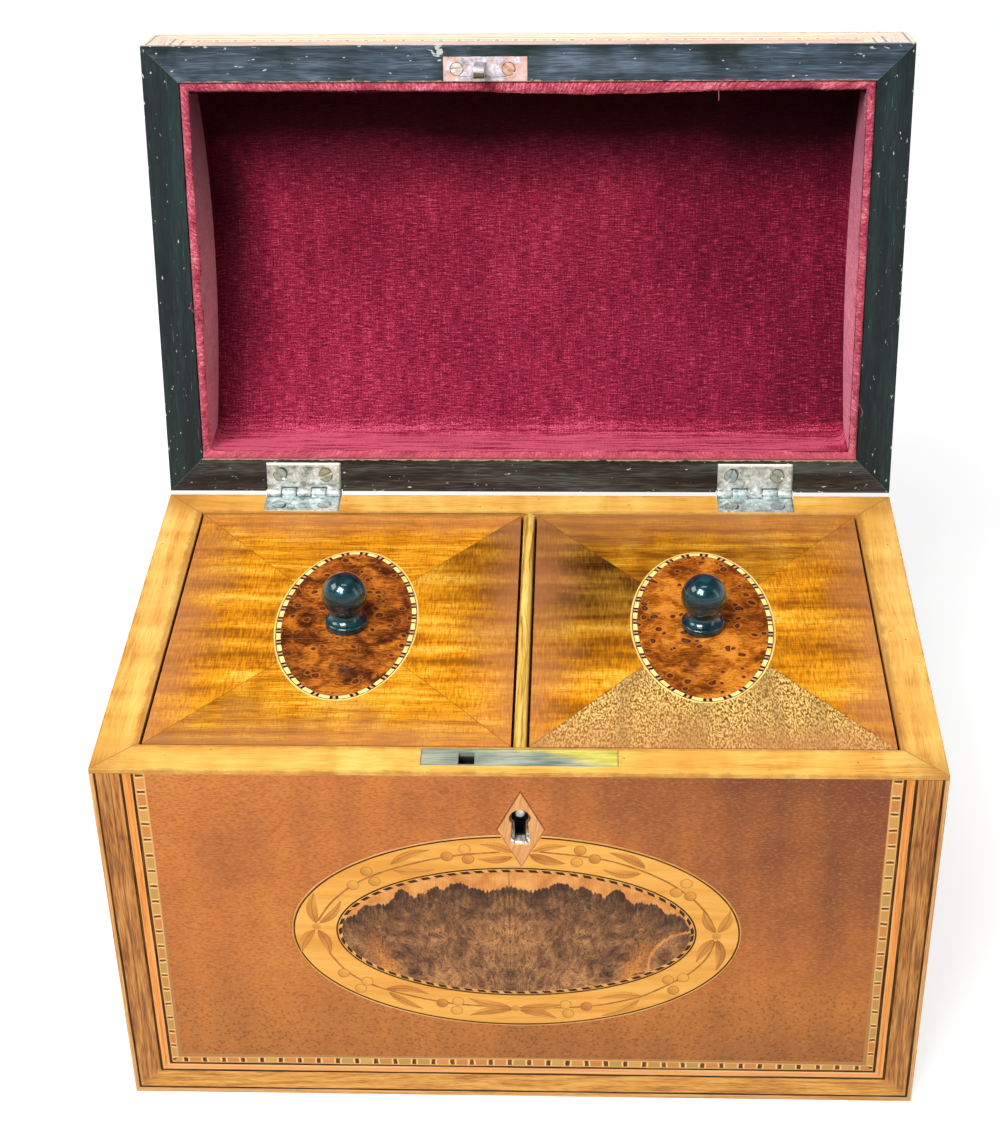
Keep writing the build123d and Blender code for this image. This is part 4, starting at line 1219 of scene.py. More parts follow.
# %% Finishes of the oval strings
dashes = {}
for name in ("rope_string", "paired_dashes"):
    material, n = new_finish(f"polished_{name}", **shellac(0.1))
    uv = n("UVMap", uv_map="mm")
    u, v = n("SeparateXYZ", uv, out=[*"XY"])
    tint = n("TexNoise", uv, Scale=1 / 3, Detail=2.0)
    if name == "rope_string":
        # Slanting dark dashes of 1.9 mm in every 3.1, next to the dark line round the panel
        part = n("FRACT", n("DIVIDE", n("MULTIPLY_ADD", v, 0.9, u), 3.1))
        off_dash = n("ABSOLUTE", n("SUBTRACT", part, 0.5))
        is_dark = n("MapRange", off_dash, 0.32, 0.29)
        off_axis = n("ABSOLUTE", n("SUBTRACT", v, 0.55))
        is_dark = n("MULTIPLY", is_dark, n("MapRange", off_axis, 0.4, 0.33))
        colour = n("ValToRGB", tint, stops=((0.35, "#C88A48"), (0.6, "#E2A862")))
        colour = n("Mix RGBA", is_dark, colour, "#3C2209")
    else:
        # Every 4.8 mm a dark dash, a pink slip and a dark dash, then pale wood; a brown line on the outer side
        part = n("FRACT", n("DIVIDE", u, 4.8))
        off_pair = n("ABSOLUTE", n("SUBTRACT", part, 0.5))
        off_dash = n("ABSOLUTE", n("SUBTRACT", off_pair, 0.145))
        colour = n("ValToRGB", tint, stops=((0.35, "#E8CC70"), (0.6, "#FFF2A8")))
        is_slip = n("MapRange", off_pair, 0.12, 0.1)
        colour = n("Mix RGBA", is_slip, colour, "#D2A080")
        is_dark = n("MapRange", off_dash, 0.088, 0.07)
        colour = n("Mix RGBA", is_dark, colour, "#33190C")
        outer = n("MapRange", v, 0.24, 0.16)
        colour = n("Mix RGBA", outer, colour, "#8A5A1E")
        inner = n("MapRange", v, 1.2, 1.28)
        colour = n("Mix RGBA", inner, colour, "#6E4014")
    wire(material, colour)
    dashes[name] = material

pale_string, n = new_finish("polished_pale_string", **shellac())
uv = n("UVMap", uv_map="mm")
tones = ("#D9A84C", "#EFD074", "#FCE896")
colour, _ = figured_wood(n, uv, tones, stripe=(20, 0.4), pore=(3, 0.2), wander=0)
wire(pale_string, colour)

# %% Lay the strings round the ovals
pale = [oval_string(RING, -0.05, 0.3, **BESIDE_DIAMOND)]
black = [oval_string(RING, 0.3, 0.75, **BESIDE_DIAMOND), oval_string(PANEL, -0.6, -0.15)]
rope = [oval_string(PANEL, -0.15, 0.85)]
for name, strings, material, slot in (
    ("ring_pale_line", pale, strip_finish["pale_edge_line"], "divider_boxwood"),
    ("oval_black_lines", black, strip_finish["black_line"], "ebonised_wood"),
    ("panel_rope_string", rope, dashes["rope_string"], "divider_boxwood"),
):
    add_piece(name, carried(on_front, strings), material, "case")
for side, oval in SMALL.items():
    body = f"{side}_inner_lid"
    rings = ("pale_string", (0.0, 0.5), pale_string), ("dashes", (0.5, 1.85), dashes["paired_dashes"])
    for name, inset, material in rings:
        strings = carried(on_inner_lid, [oval_string(oval, *inset)])
        add_piece(f"{body}_{name}", strings, material, body)

# %% [markdown]
# ## The diamond and its worn keyhole
#
# The wooden diamond round the keyhole is drawn here again with a wider hole than the lock's, as keys have worn
# it. Seen from a point inside, both the hole and the diamond are the end of a ray in each direction, so the
# plate is a grid of directions by steps along the ray. Between the wide hole in the wood and the narrow one in
# the lock stands a battered lip of steel, bright where it was struck.

# %% Diamond with its hole, and the steel lip
KEY_VIEW = np.array([0.7, 86.8])
DIAMOND = {"centre": (0.9, 85.0), "half": (5.4, 10.95)}
corners = np.array([(1, 0), (0, 1), (-1, 0), (0, -1)]) * DIAMOND["half"] + DIAMOND["centre"] - KEY_VIEW
corner_angles = np.arctan2(corners[:, 1], corners[:, 0]) % (2 * np.pi)
theta = np.unique(np.concatenate([np.linspace(0, 2 * np.pi, 241), corner_angles]))
ray_way = np.stack([np.cos(theta), np.sin(theta)], -1)


def keyhole_radius(circle, half, foot, flare=0.0):
    """Distance from the view point to a keyhole: an arc about a point 1.4 mm above it, over a slot that flares."""
    c, s = ray_way[:, 0], ray_way[:, 1]
    arc = 1.4 * s + np.sqrt(np.maximum(circle**2 - (1.4 * c) ** 2, 0))
    side = half / np.maximum(np.abs(c) - flare * np.abs(s), 1e-3)
    slot = np.minimum(side, foot / np.maximum(np.abs(s), 1e-3))
    return np.where(s < 0, np.maximum(arc, slot), arc)


def rings(entries):
    """Sheet of closed rings round the view point: (radius per direction, height) for each row."""
    rows = [np.concatenate([KEY_VIEW + r[:, None] * ray_way, h + 0 * r[:, None]], -1) for r, h in entries]
    points = np.stack(rows)
    points[:, -1] = points[:, 0]
    return points, points[..., :2].copy()


# The diamond is the place where |x| / a + |z| / b = 1: a ray meets the nearest of its four sides
reach = []
for signs in ((1, 1), (-1, 1), (-1, -1), (1, -1)):
    slope = np.array(signs) / DIAMOND["half"]
    speed = ray_way @ slope
    left_over = 1 - (KEY_VIEW - DIAMOND["centre"]) @ slope
    reach.append(np.where(speed > 1e-6, left_over / np.maximum(speed, 1e-6), 1e6))
plate = np.min(reach, axis=0)
worn_hole = keyhole_radius(2.4, 1.8, 6.0, 0.07)
plate_sheet = rings([
    (worn_hole, -0.74), (worn_hole, -0.12), (worn_hole + 0.12, 0.03), (0.5 * (worn_hole + plate), 0.03),
    (plate - 0.14, 0.03), (plate - 0.02, -0.06),
])
diamond = add_piece(
    "worn_escutcheon", carried(on_front, [plate_sheet]), diamond_wood, "case"
)
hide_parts("escutcheon")

# %% [markdown]
# The lip is stained steel that darkens upwards, where it turns into the hole and sees less light.

# %% The steel lip
worn_steel, n = new_finish("worn_keyhole_steel", Metallic=0.7)
uv = n("UVMap", uv_map="mm")
tones = ((0.38, "#5E645C"), (0.5, "#B4B8B0"), (0.62, "#F2F4F0"))
stain, colour, gloss = tarnish(n, uv, 0.8, tones, (0.35, 0.65, 0.55, 0.35), Detail=4.0)
height = n("SeparateXYZ", uv, out="Y")
shade = n("MapRange", height, 82.8, 85.2, 0, 0.93)
colour = n("Mix RGBA", shade, colour, "#0E1614")
wire(worn_steel, colour, roughness=gloss, height=stain, depth=0.15)
lock_hole = keyhole_radius(1.95, 1.25, 5.55)
ragged = 0.12 * np.sin(9 * theta) + 0.1 * np.sin(23 * theta + 1)
lowest = np.clip(-ray_way[:, 1] - 0.6, 0, 0.4)[:, None] / 0.4
lip_sheet = rings([
    (lock_hole - 0.05, -2.6), (lock_hole + 0.3 * np.abs(ragged), -1.0),
    (0.5 * (worn_hole + lock_hole) + 0.5 * ragged, -0.75 + 0.3 * lowest), (worn_hole + 0.05, -0.7 + 0.45 * lowest),
])
add_piece("keyhole_lip", carried(on_front, [lip_sheet]), worn_steel, "case", smooth=True)

# %% [markdown]
# ## The garland
#
# Leaves and berries were sawn from pale wood, dipped in hot sand to scorch one edge brown, and let into the
# ring. A fine engraver's line adds the veins. A leaf is a grid along its spine and across its width; the
# width follows a sine, fuller towards the base. The scorching and the veins are drawn by the finish from the
# leaf's own UV map.


# %% Leaves, berries and stems
def spaced(line, step):
    """The same line with points at even steps of its length."""
    length = run_of(line)
    even = np.linspace(0, length[-1], int(round(length[-1] / step)) + 1)
    return np.stack([np.interp(even, length, line[:, i]) for i in (0, 1)], -1)


def softened(line, reach, width):
    """Gaussian average over reach points each way, and the direction to the left of the line at each point."""
    weights = np.exp(-((np.arange(-reach, reach + 1) / width) ** 2))
    padded = np.pad(line, ((reach, reach), (0, 0)), mode="reflect", reflect_type="odd")
    line = np.stack([np.convolve(padded[:, i], weights / weights.sum(), "valid") for i in (0, 1)], -1)
    tangent = np.gradient(line, axis=0)
    tangent /= np.linalg.norm(tangent, axis=-1)[:, None]
    return line, np.stack([-tangent[:, 1], tangent[:, 0]], -1)


def leaf(base, tip, width=3.3, bend=0.12):
    """Spine: a parabola from base to tip, bent sideways by bend of its length. Half width: a lopsided sine."""
    base, tip = np.array(base, float), np.array(tip, float)
    run = tip - base
    length = np.linalg.norm(run)
    side = np.array([-run[1], run[0]]) / length
    s, across = np.meshgrid(np.linspace(0, 1, 15), np.linspace(-1, 1, 7), indexing="ij")
    half = width / 2 * np.sin(np.pi * s**0.8) ** 0.85
    centre = base + run * s[..., None] + side * (4 * bend * length * s * (1 - s))[..., None]
    flat = centre + side * (half * across)[..., None]
    height = 0.03 + 0.03 * (1 - across**2) * (half > 0)
    height = np.where(np.abs(across) > 0.99, -0.03, height)
    points = np.concatenate([flat, height[..., None]], -1)
    return points, np.stack([s * length, half * across], -1)


def berry(centre, radius=1.6):
    """Low dome: a disc in polar rows whose height falls with the square of the distance from its centre."""
    r, t = np.meshgrid(np.linspace(0, 1, 6), np.linspace(0, 2 * np.pi, 29), indexing="ij")
    flat = radius * r[..., None] * np.stack([np.cos(t), np.sin(t)], -1)
    height = np.where(r > 0.99, -0.03, 0.03 + 0.05 * (1 - r**2))
    points = np.concatenate([flat + np.array(centre, float), height[..., None]], -1)
    return points, flat


def stem(*knots):
    """Thin ribbon along a line through the knots, softened by a Gaussian over about 3 mm."""
    line, side = softened(spaced(np.array(knots, float), 0.5), 12, 5.0)
    return ribbon(line - 0.27 * side, line + 0.27 * side, lift=0.02, edge=0.05)


# %% [markdown]
# The garland isn't regular. Pairs of leaves and groups of three berries follow one another round the ring, and
# two sprigs of four leaves sit at its ends; each was measured on the front in mm from the middle of the foot.

# %% Where the leaves, berries and stems lie
LEAVES = (  # base, tip, width, bend, darkness
    ((-29.0, 74.4), (-19.8, 78.9), 2.6, 0.08, 0.55), ((-28.6, 72.9), (-18.9, 73.2), 2.6, -0.08, 0.3),
    ((-1.0, 78.3), (-8.5, 80.7), 2.7, -0.08, 0.35), ((-1.0, 77.0), (-9.0, 76.4), 2.5, 0.08, 0.65),
    ((3.3, 78.6), (11.2, 80.4), 2.2, 0.06, 0.3), ((2.6, 77.8), (10.9, 75.2), 3.2, -0.06, 0.85),
    ((29.0, 74.0), (20.7, 78.5), 2.8, -0.08, 0.65), ((28.0, 72.4), (19.3, 73.6), 2.7, 0.1, 0.45),
    ((45.6, 54.5), (42.5, 61.2), 2.5, 0.08, 0.6), ((46.1, 54.6), (48.6, 61.4), 2.9, -0.1, 0.4),
    ((45.3, 52.6), (41.4, 45.2), 2.8, -0.06, 0.5), ((46.0, 52.4), (46.0, 42.6), 2.8, 0.1, 0.95),
    ((-46.9, 56.2), (-47.0, 65.6), 3.0, 0.08, 0.55), ((-46.2, 56.3), (-40.9, 63.4), 2.4, -0.1, 0.6),
    ((-47.4, 54.3), (-50.9, 46.9), 2.9, -0.1, 0.45), ((-46.7, 54.2), (-44.3, 46.4), 2.9, 0.08, 0.75),
    ((-31.8, 35.6), (-21.4, 34.1), 2.5, 0.08, 0.75), ((-31.0, 34.6), (-23.0, 29.3), 2.3, -0.05, 0.6),
    ((-2.4, 30.3), (-12.2, 33.0), 2.7, 0.06, 0.45), ((-1.6, 29.4), (-12.0, 27.2), 2.9, -0.06, 0.7),
    ((0.6, 30.3), (10.2, 31.3), 2.7, -0.06, 0.5), ((0.0, 29.2), (8.8, 26.6), 3.0, 0.06, 0.65),
    ((28.9, 34.2), (18.6, 33.2), 2.5, -0.08, 0.15), ((28.4, 33.0), (19.4, 27.6), 2.4, 0.06, 0.25),
)
BERRIES = (  # centre, darkness
    ((-37.8, 68.1), 0.3), ((-34.5, 72.3), 0.6), ((-32.8, 69.3), 0.55), ((-16.0, 77.0), 0.75), ((-11.9, 79.2), 0.0),
    ((-11.2, 76.2), 0.7), ((14.2, 79.1), 0.6), ((13.4, 75.6), 0.3), ((17.5, 76.6), 0.75), ((38.4, 69.5), 0.0),
    ((36.1, 66.8), 0.5), ((39.4, 65.7), 0.6), ((35.0, 39.5), 0.45), ((38.5, 40.3), 0.1), ((36.3, 36.2), 0.6),
    ((15.8, 30.6), 0.9), ((10.9, 31.1), 0.0), ((11.5, 28.2), 0.3), ((-41.4, 40.6), 0.4), ((-35.9, 38.0), 0.05),
    ((-37.6, 35.7), 0.15), ((-18.4, 31.2), 0.85), ((-14.6, 31.8), 0.0), ((-15.0, 28.9), 0.0),
)
leaves = [leaf(base, tip, width, bend) for base, tip, width, bend, _ in LEAVES]
berries = [berry(centre, 1.55) for centre, _ in BERRIES]
sprig_knots = [berry(centre, 1.1) for centre in ((-46.9, 55.3), (45.8, 53.5), (-0.9, 29.8))]
stems = [
    stem((-46.5, 57), (-43.5, 62.5), (-38, 68.2), (-33, 71.2), (-28, 73.4), (-20, 76.0), (-12.5, 77.6), (-4, 78.4)),
    stem((5, 78.6), (14, 77.5), (21, 76.2), (28.5, 73.2), (35, 69.4), (40.5, 64.5), (44, 59.5), (45.6, 55)),
    stem((-46.6, 53), (-44.5, 47), (-41, 41.3), (-36.5, 37.6), (-31, 35.1), (-23, 32.6), (-15.5, 30.9), (-2, 29.9)),
    stem((45.6, 52), (44, 46.5), (40.5, 42), (35.5, 38.2), (29, 34), (20, 31.2), (12.5, 30.2), (0, 29.9)),
]
print(len(leaves), "leaves,", len(berries), "berries")

# %% [markdown]
# The finish of the leaves: scorched brown towards the base and along one edge, with a dark vein and slanting
# cuts. Each leaf also carries its darkness as the attribute "tone", so that no two are scorched alike.

# %% Finishes of the garland, and its pieces
shaded_leaf, n = new_finish("sand_shaded_leaf_wood", **shellac())
uv = n("UVMap", uv_map="mm")
u, v = n("SeparateXYZ", uv, out=[*"XY"])
tone = n("Attribute", attribute_name="tone", out="Fac")
scorch = n("MapRange", u, 6.0, 0.0, 0, 0.6)
edge = n("MapRange", v, -0.6, 1.5, 0, 0.6)
scorch = n("MAXIMUM", scorch, edge)
cloud = n("TexNoise", uv, Scale=1 / 1.5, Detail=2.0)
scorch = n("MULTIPLY_ADD", cloud, 0.35, scorch)
strength = n("MULTIPLY_ADD", tone, 0.95, 0.12)
scorch = n("MULTIPLY", scorch, strength)
leaf_ramp = ((0.0, "#E6A144"), (0.25, "#D58D3A"), (0.55, "#BA732C"), (1.0, "#8C501D"))
colour = n("ValToRGB", scorch, stops=leaf_ramp)
v_size = n("ABSOLUTE", v)
vein = n("MapRange", v_size, 0.16, 0.08, 0, 0.5)
cuts = n("FRACT", n("DIVIDE", n("MULTIPLY_ADD", v_size, -0.9, u), 0.8))
cuts = n("MapRange", n("ABSOLUTE", n("SUBTRACT", cuts, 0.5)), 0.13, 0.05, 0, 0.3)
lines = n("MAXIMUM", vein, cuts)
colour = n("Mix RGBA", lines, colour, "#7A4218")
wire(shaded_leaf, colour)

shaded_berry, n = new_finish("sand_shaded_berry_wood", **shellac())
uv = n("UVMap", uv_map="mm")
u, v = n("SeparateXYZ", uv, out=[*"XY"])
tone = n("Attribute", attribute_name="tone", out="Fac")
shade = n("MULTIPLY_ADD", tone, 0.75, n("MULTIPLY_ADD", u, -0.14, n("MULTIPLY", v, -0.1)))
berry_ramp = ((0.0, "#ECA84A"), (0.3, "#DE9A40"), (0.6, "#C98433"), (0.9, "#A86A28"))
colour = n("ValToRGB", shade, stops=berry_ramp)
far = n("VectorMath LENGTH", uv)
outline = n("MapRange", far, 1.12, 1.36, 0, 0.65)
colour = n("Mix RGBA", outline, colour, "#8E5822")
wire(shaded_berry, colour)

stem_wood, n = new_finish("scorched_stem_wood", **shellac())
grain = n("TexNoise", n("UVMap", uv_map="mm"), Scale=1 / 2, Detail=2.0)
colour = n("ValToRGB", grain, stops=((0.35, "#945A20"), (0.6, "#B87A32")))
wire(stem_wood, colour)

for name, sheets, tones, material in (
    ("garland_stems", stems, None, stem_wood),
    ("garland_leaves", leaves, [entry[-1] for entry in LEAVES], shaded_leaf),
    ("garland_berries", berries + sprig_knots, [entry[-1] for entry in BERRIES] + [0.6] * 3, shaded_berry),
):
    smooth = name != "garland_stems"
    add_piece(name, carried(on_front, sheets), material, "case", smooth, tones)

# %% [markdown]
# ## The knobs
#
# A knob comes off a lathe, so it is a profile turned about an upright axis: a collar, a hollow waist and a
# ball. The profile is drawn as a few arcs of dense points, and the grid turns them through a full circle.


# %% Turned knobs
def arc_points(centre, radius, start, end, count):
    """Points of a circle's arc between two angles in degrees."""
    t = np.radians(np.linspace(start, end, count))
    return np.stack([centre[0] + radius * np.cos(t), centre[1] + radius * np.sin(t)], -1)


def turned(profile, centre, steps=96):
    """Surface of revolution: (radius, height) turned about the upright line through centre."""
    t = np.linspace(0, 2 * np.pi, steps + 1)
    radius, height = profile[:, 0][:, None], profile[:, 1][:, None]
    x, y, z = radius * np.cos(t), radius * np.sin(t), height + 0 * t
    points = np.stack([centre[0] + x, centre[1] + y, centre[2] + z], -1)[:, ::-1]
    uv = np.stack(np.broadcast_arrays(5 * t[None, ::-1], run_of(profile)[:, None]), -1)
    return points, uv


knob_profile = np.concatenate(
    [
        [(0.0, 0.01), (4.85, 0.01)],
        arc_points((4.85, 0.3), 0.28, -80, 0, 6),
        [(5.16, 0.8), (5.2, 1.2)],
        arc_points((4.8, 1.5), 0.4, 0, 66, 8),
        arc_points((5.55, 4.25), 2.45, 256, 190, 16),
        arc_points((0, 8.75), 5.5, -50.5, 90, 56),
    ]
)
knob_profile[-1, 0] = 0.0
for side, (_, _, knob_x) in INNER_LIDS.items():
    sheet = turned(knob_profile, (knob_x, -1.2, INNER_TOP))
    body = f"{side}_inner_lid"
    knob = add_piece(f"{side}_turned_knob", [sheet], glossy_black, body, smooth=True)
    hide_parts(f"{side}_inner_lid_knob")

# %% [markdown]
# ## The velvet
#
# The lining is cut velvet, glued into the lid in three pieces: one strip that runs up the front, over the
# vault and down the back, and two end pieces with an arched top. Velvet is a ground cloth with a short dense
# pile: it is dark where one looks into the pile and pale where light grazes the tips. Along the fold to the back
# wall it is painted paler, as painted sheen, and behind the front wall it is painted dark, as painted shadow.
# Along the rim the cut edge of the cloth shows as a pink fringe.
#
# The vault is a profile carried along x. Its corners are softened by averaging the profile over a few
# millimetres, and near the ends the surface turns inwards on a small radius, to meet the end pieces. A slow
# noise lifts the cloth a few tenths of a millimetre off its ground, as old glued cloth does.

# %% Profile of the lining, in the shut lid
PILE_W, PILE_D, PILE_R = 83.8, 47.05, 89.79
VELVET_FOOT = 101.9
FOLD = 2.6

angle = asin(PILE_D / PILE_R)
t = np.linspace(-angle, angle, 200)
arch = np.stack([PILE_R * np.sin(t), DOME_Z + PILE_R * np.cos(t)], -1)
profile = np.concatenate([[(-PILE_D, VELVET_FOOT)], arch, [(PILE_D, VELVET_FOOT)]])
profile, outward = softened(spaced(profile, 1.0), 4, 1.7)
inward = -outward
STRIP = len(profile) - 1
print("velvet strip is", STRIP, "mm long; inward at the crown", np.round(inward[len(profile) // 2], 2))

# %% Cloth of the vault and of the two ends
def slow_noise(u, v, seed):
    """Sum of nine sine waves with random directions and wavelengths of 9 to 45 mm, about 1 at most."""
    pick = np.random.default_rng(seed)
    total = 0 * u
    for _ in range(9):
        direction, wave, phase = pick.uniform(0, np.pi), pick.uniform(9, 45), pick.uniform(0, 6.28)
        total = total + np.sin((u * np.cos(direction) + v * np.sin(direction)) * 6.28 / wave + phase)
    return total / 4


columns = np.linspace(-PILE_W, PILE_W, 169)
from_end = PILE_W - np.abs(columns)
s_mm = np.arange(len(profile), dtype=float)
# The fold gets tighter over the last 12 mm before the rim, where the cloth is glued into the corner
fold = 0.6 + (FOLD - 0.6) * np.clip(np.minimum(s_mm, s_mm[::-1]) / 12, 0, 1)[:, None]
turn_in = fold - np.sqrt(fold**2 - np.maximum(0, fold - from_end) ** 2)
lift = 0.16 * slow_noise(s_mm[:, None], columns[None, :], 3) * np.minimum(1, from_end / 8)[None, :]
depth = (turn_in + lift + 0.1)[..., None]
surface = profile[:, None] + inward[:, None] * depth
points = np.stack([np.broadcast_to(columns, surface.shape[:2]), surface[..., 0], surface[..., 1]], -1)
uv = np.stack(np.broadcast_arrays(columns[None, :], s_mm[:, None]), -1)
vault_sheet = (swing(points), uv)

end_sheets = {}
rim_line = profile + inward * fold
foot_line = np.stack([np.linspace(rim_line[0, 0], rim_line[-1, 0], len(profile)), 0 * s_mm + VELVET_FOOT], -1)
k = np.linspace(0, 1, 31)[None, :, None]
flat = rim_line[:, None] * (1 - k) + foot_line[:, None] * k
bulge = 0.18 * slow_noise(flat[..., 0], flat[..., 1], 5) * np.sin(np.pi * k[..., 0])
for side, sign in (("left", -1), ("right", 1)):
    x = sign * (PILE_W - 0.1 - np.abs(bulge))
    points = np.stack([x, flat[..., 0], flat[..., 1]], -1)
    uv = flat.copy()
    if sign > 0:
        points, uv = points[::-1], uv[::-1]
    end_sheets[side] = (swing(points), uv)

# %% [markdown]
# Velvet needs three layers in its finish. The colour changes slowly, where the pile leans one way or the
# other, and quickly, with the rows of the ground cloth, which show as fine pale threads both ways about a
# millimetre apart. A sheen, the shader's own model of light in fine fibres, brightens the grazing parts. And a
# bump of half-millimetre tufts breaks the surface.


# %% Finish of the velvet
def velvet(name, tones, worn, strip):
    """Pile velvet: deep to pale by lean of the pile, fine rows of the ground cloth both ways, painted sheen on the
    folds, painted shadow.
    """
    material, n = new_finish(
        name, Roughness=0.95, IOR=1.4, Specular_IOR_Level=0.1, Sheen_Roughness=0.4,
        Sheen_Weight=0.25 if strip else 0.45, Sheen_Tint="#D84060" if strip else "#FF9CB4",
    )
    uv = n("UVMap", uv_map="mm")
    u, v = n("SeparateXYZ", uv, out=[*"XY"])
    lean = n("TexNoise", uv, Scale=1 / 40, Detail=3.0, Roughness=0.5)
    column = stretched(n, uv, (6, 90, 1), Detail=3.0)
    tuft = n("TexNoise", uv, Scale=1 / 0.4, Detail=2.0, Roughness=0.6)
    rows = stretched(n, uv, (3.0, 0.34, 1), Detail=2.0, Roughness=0.6)
    posts = stretched(n, uv, (0.4, 6, 1), Detail=2.0, Roughness=0.6)
    value = n("MULTIPLY_ADD", lean, 0.12, n("MULTIPLY", column, 0.07))
    for layer, share in ((tuft, 0.34), (rows, 0.35), (posts, 0.12)):
        value = n("MULTIPLY_ADD", layer, share, value)
    if strip:
        # Painted sheen: the fold to the back wall and the wall itself are painted paler, where the pile is seen at
        # a grazing angle; towards the right end the cloth is painted darker, as painted shade
        painted_sheen = n("MapRange", n("MULTIPLY_ADD", tuft, 7.0, v), STRIP - 16.0, STRIP - 6.0, 0, 0.15)
        streak = stretched(n, uv, (22, 1.1, 1), Detail=3.0)
        streak = n("MapRange", streak, 0.36, 0.64, 0.2, 1.7)
        painted_sheen = n("MULTIPLY", painted_sheen, streak)
        value = n("ADD", value, painted_sheen)
        # Painted shade: darker towards the right end, where the light falls off across the vault
        side = n("MapRange", u, 20.0, 84.0, 0, 0.06)
        value = n("SUBTRACT", value, side)
    colour = n("ValToRGB", value, stops=list(zip((0.4, 0.46, 0.51, 0.56, 0.63), tones)))
    thin = n("MapRange", n("MULTIPLY", rows, posts), 0.33, 0.42, 0, 0.55)
    colour = n("Mix RGBA", thin, colour, worn)
    if strip:
        # Painted shadow: dark behind the front wall and down the left end, deepest in the corner they share, where
        # those walls shade the cloth
        shadow_reach = n("MULTIPLY_ADD", lean, 14.0, v)
        top_shadow = n("MapRange", shadow_reach, 57.0, 37.0, 0, 0.93)
        left_shadow = n("MULTIPLY", n("MapRange", u, -68.0, -78.0), n("MapRange", v, 130.0, 50.0, 0, 0.85))
        painted_shadow = n("MAXIMUM", top_shadow, left_shadow)
        colour = n("Mix RGBA", painted_shadow, colour, "#0E0306")
    else:
        # Painted shadow on the ends as well, darkest near the front
        y = n("SeparateXYZ", place_mm(n, lid=True), out="Y")
        painted_shadow = n("MapRange", y, 0.0, -42.0, 0, 0.92)
        colour = n("Mix RGBA", painted_shadow, colour, "#2C0812")
    height = n("MULTIPLY_ADD", rows, 0.6, tuft)
    wire(material, colour, height=height, depth=0.25)
    return material


# %% Lay the velvet
crimson = velvet("crimson_silk_velvet", ("#4C0C1E", "#6A142B", "#8C1E3A", "#A6304E", "#D05C78"), "#C4566E", True)
# The end pieces are given pale pinks: painted sheen where the pile is seen at a grazing angle, palest on the left
# as painted light
sheen_painted = {
    side: velvet(f"faded_{side}_velvet", tones, worn, False)
    for side, tones, worn in (
        ("left", ("#B0708A", "#CF90A8", "#E2A8BE", "#F2C0D0", "#FFDCE6"), "#F6C8D6"),
        ("right", ("#8C3850", "#B0607A", "#D07C94", "#E89CB0", "#FCC6D2"), "#F2B4C4"),
    )
}
vault = add_piece("velvet_vault", [vault_sheet], crimson, "lid", smooth=True)
ends = {
    side: add_piece(f"velvet_{side}_end", [sheet], sheen_painted[side], "lid", smooth=True)
    for side, sheet in end_sheets.items()
}
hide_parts("velvet_lining")

# %% [markdown]
# ## The cut edge of the velvet
#
# Where the cloth stops at the rim, its cut edge is a soft roll of bare threads, pink because the dye is thin
# there. The roll is a half round carried along the rectangle of the opening. Short hairs stand out of it,
# each a three-sided sliver, and a few long threads have come loose.


# %% Rolled edge
def rectangle(half_a, half_b, step=0.8):
    """Closed rectangle of evenly spaced points, starting at the front left corner and running to the right."""
    corners = np.array([(-1, -1), (1, -1), (1, 1), (-1, 1), (-1, -1)]) * np.array([half_a, half_b])
    return spaced(corners, step)


def rolled_edge():
    """Cross-section: a half circle from the wall to the pile, bulging towards the rim and roughened by noise.

    Its width wavers along the edge, and to the right of the link plate the cloth has come loose and sags.
    """
    outer_line, inner_line = (rectangle(*h, step=0.4) for h in ((85.9, 49.15), (83.7, 46.95)))
    t = np.linspace(0, 1, 1301)
    lines = [
        np.stack([np.interp(t, np.linspace(0, 1, len(line)), line[:, i]) for i in (0, 1)], -1)
        for line in (outer_line, inner_line)
    ]
    length = t * 530
    fray = 0.5 * slow_noise(length, 0 * length, 31) + 0.28 * slow_noise(length * 9, 0 * length, 17)
    fray = np.where(length > 529.5, fray[0], fray)
    on_front_side = lines[0][:, 1] < -49.0
    sag = np.where(on_front_side, np.exp(-(((lines[0][:, 0] - 16) / 26) ** 2)), 0)
    a = np.linspace(0, np.pi, 9)
    across = (1 - np.cos(a)) / 2
    reach_in = across[None, :] * (1 + 0.16 * fray[:, None] + 0.45 * sag[:, None])
    flat = lines[0][:, None] * (1 - reach_in[..., None]) + lines[1][:, None] * reach_in[..., None]
    rough = 0.2 * slow_noise(length[:, None] * 11, 14 * across[None, :], 11)
    # At the hinges the cloth lies flatter and goes over into the lining without a groove
    flat_side = np.clip((lines[0][:, 1:] - 47.0) / 2.0, 0, 1)
    bulge = np.sin(a)[None, :] * (1 - flat_side) + np.sin(a / 2 + np.pi / 4)[None, :] * flat_side
    height = VELVET_FOOT + 0.9 - (0.85 + rough) * bulge
    height[:, -1] += 0.9 * (1 - flat_side[:, 0])
    points = np.concatenate([flat, height[..., None]], -1)
    points[-1] = points[0]
    uv = np.stack(np.broadcast_arrays(length[:, None], 2.6 * across[None, :]), -1)
    return points[::-1], uv[::-1]


# %% [markdown]
# Its threads are a rough bump of half-millimetre tufts, in pinks that change over a few millimetres.

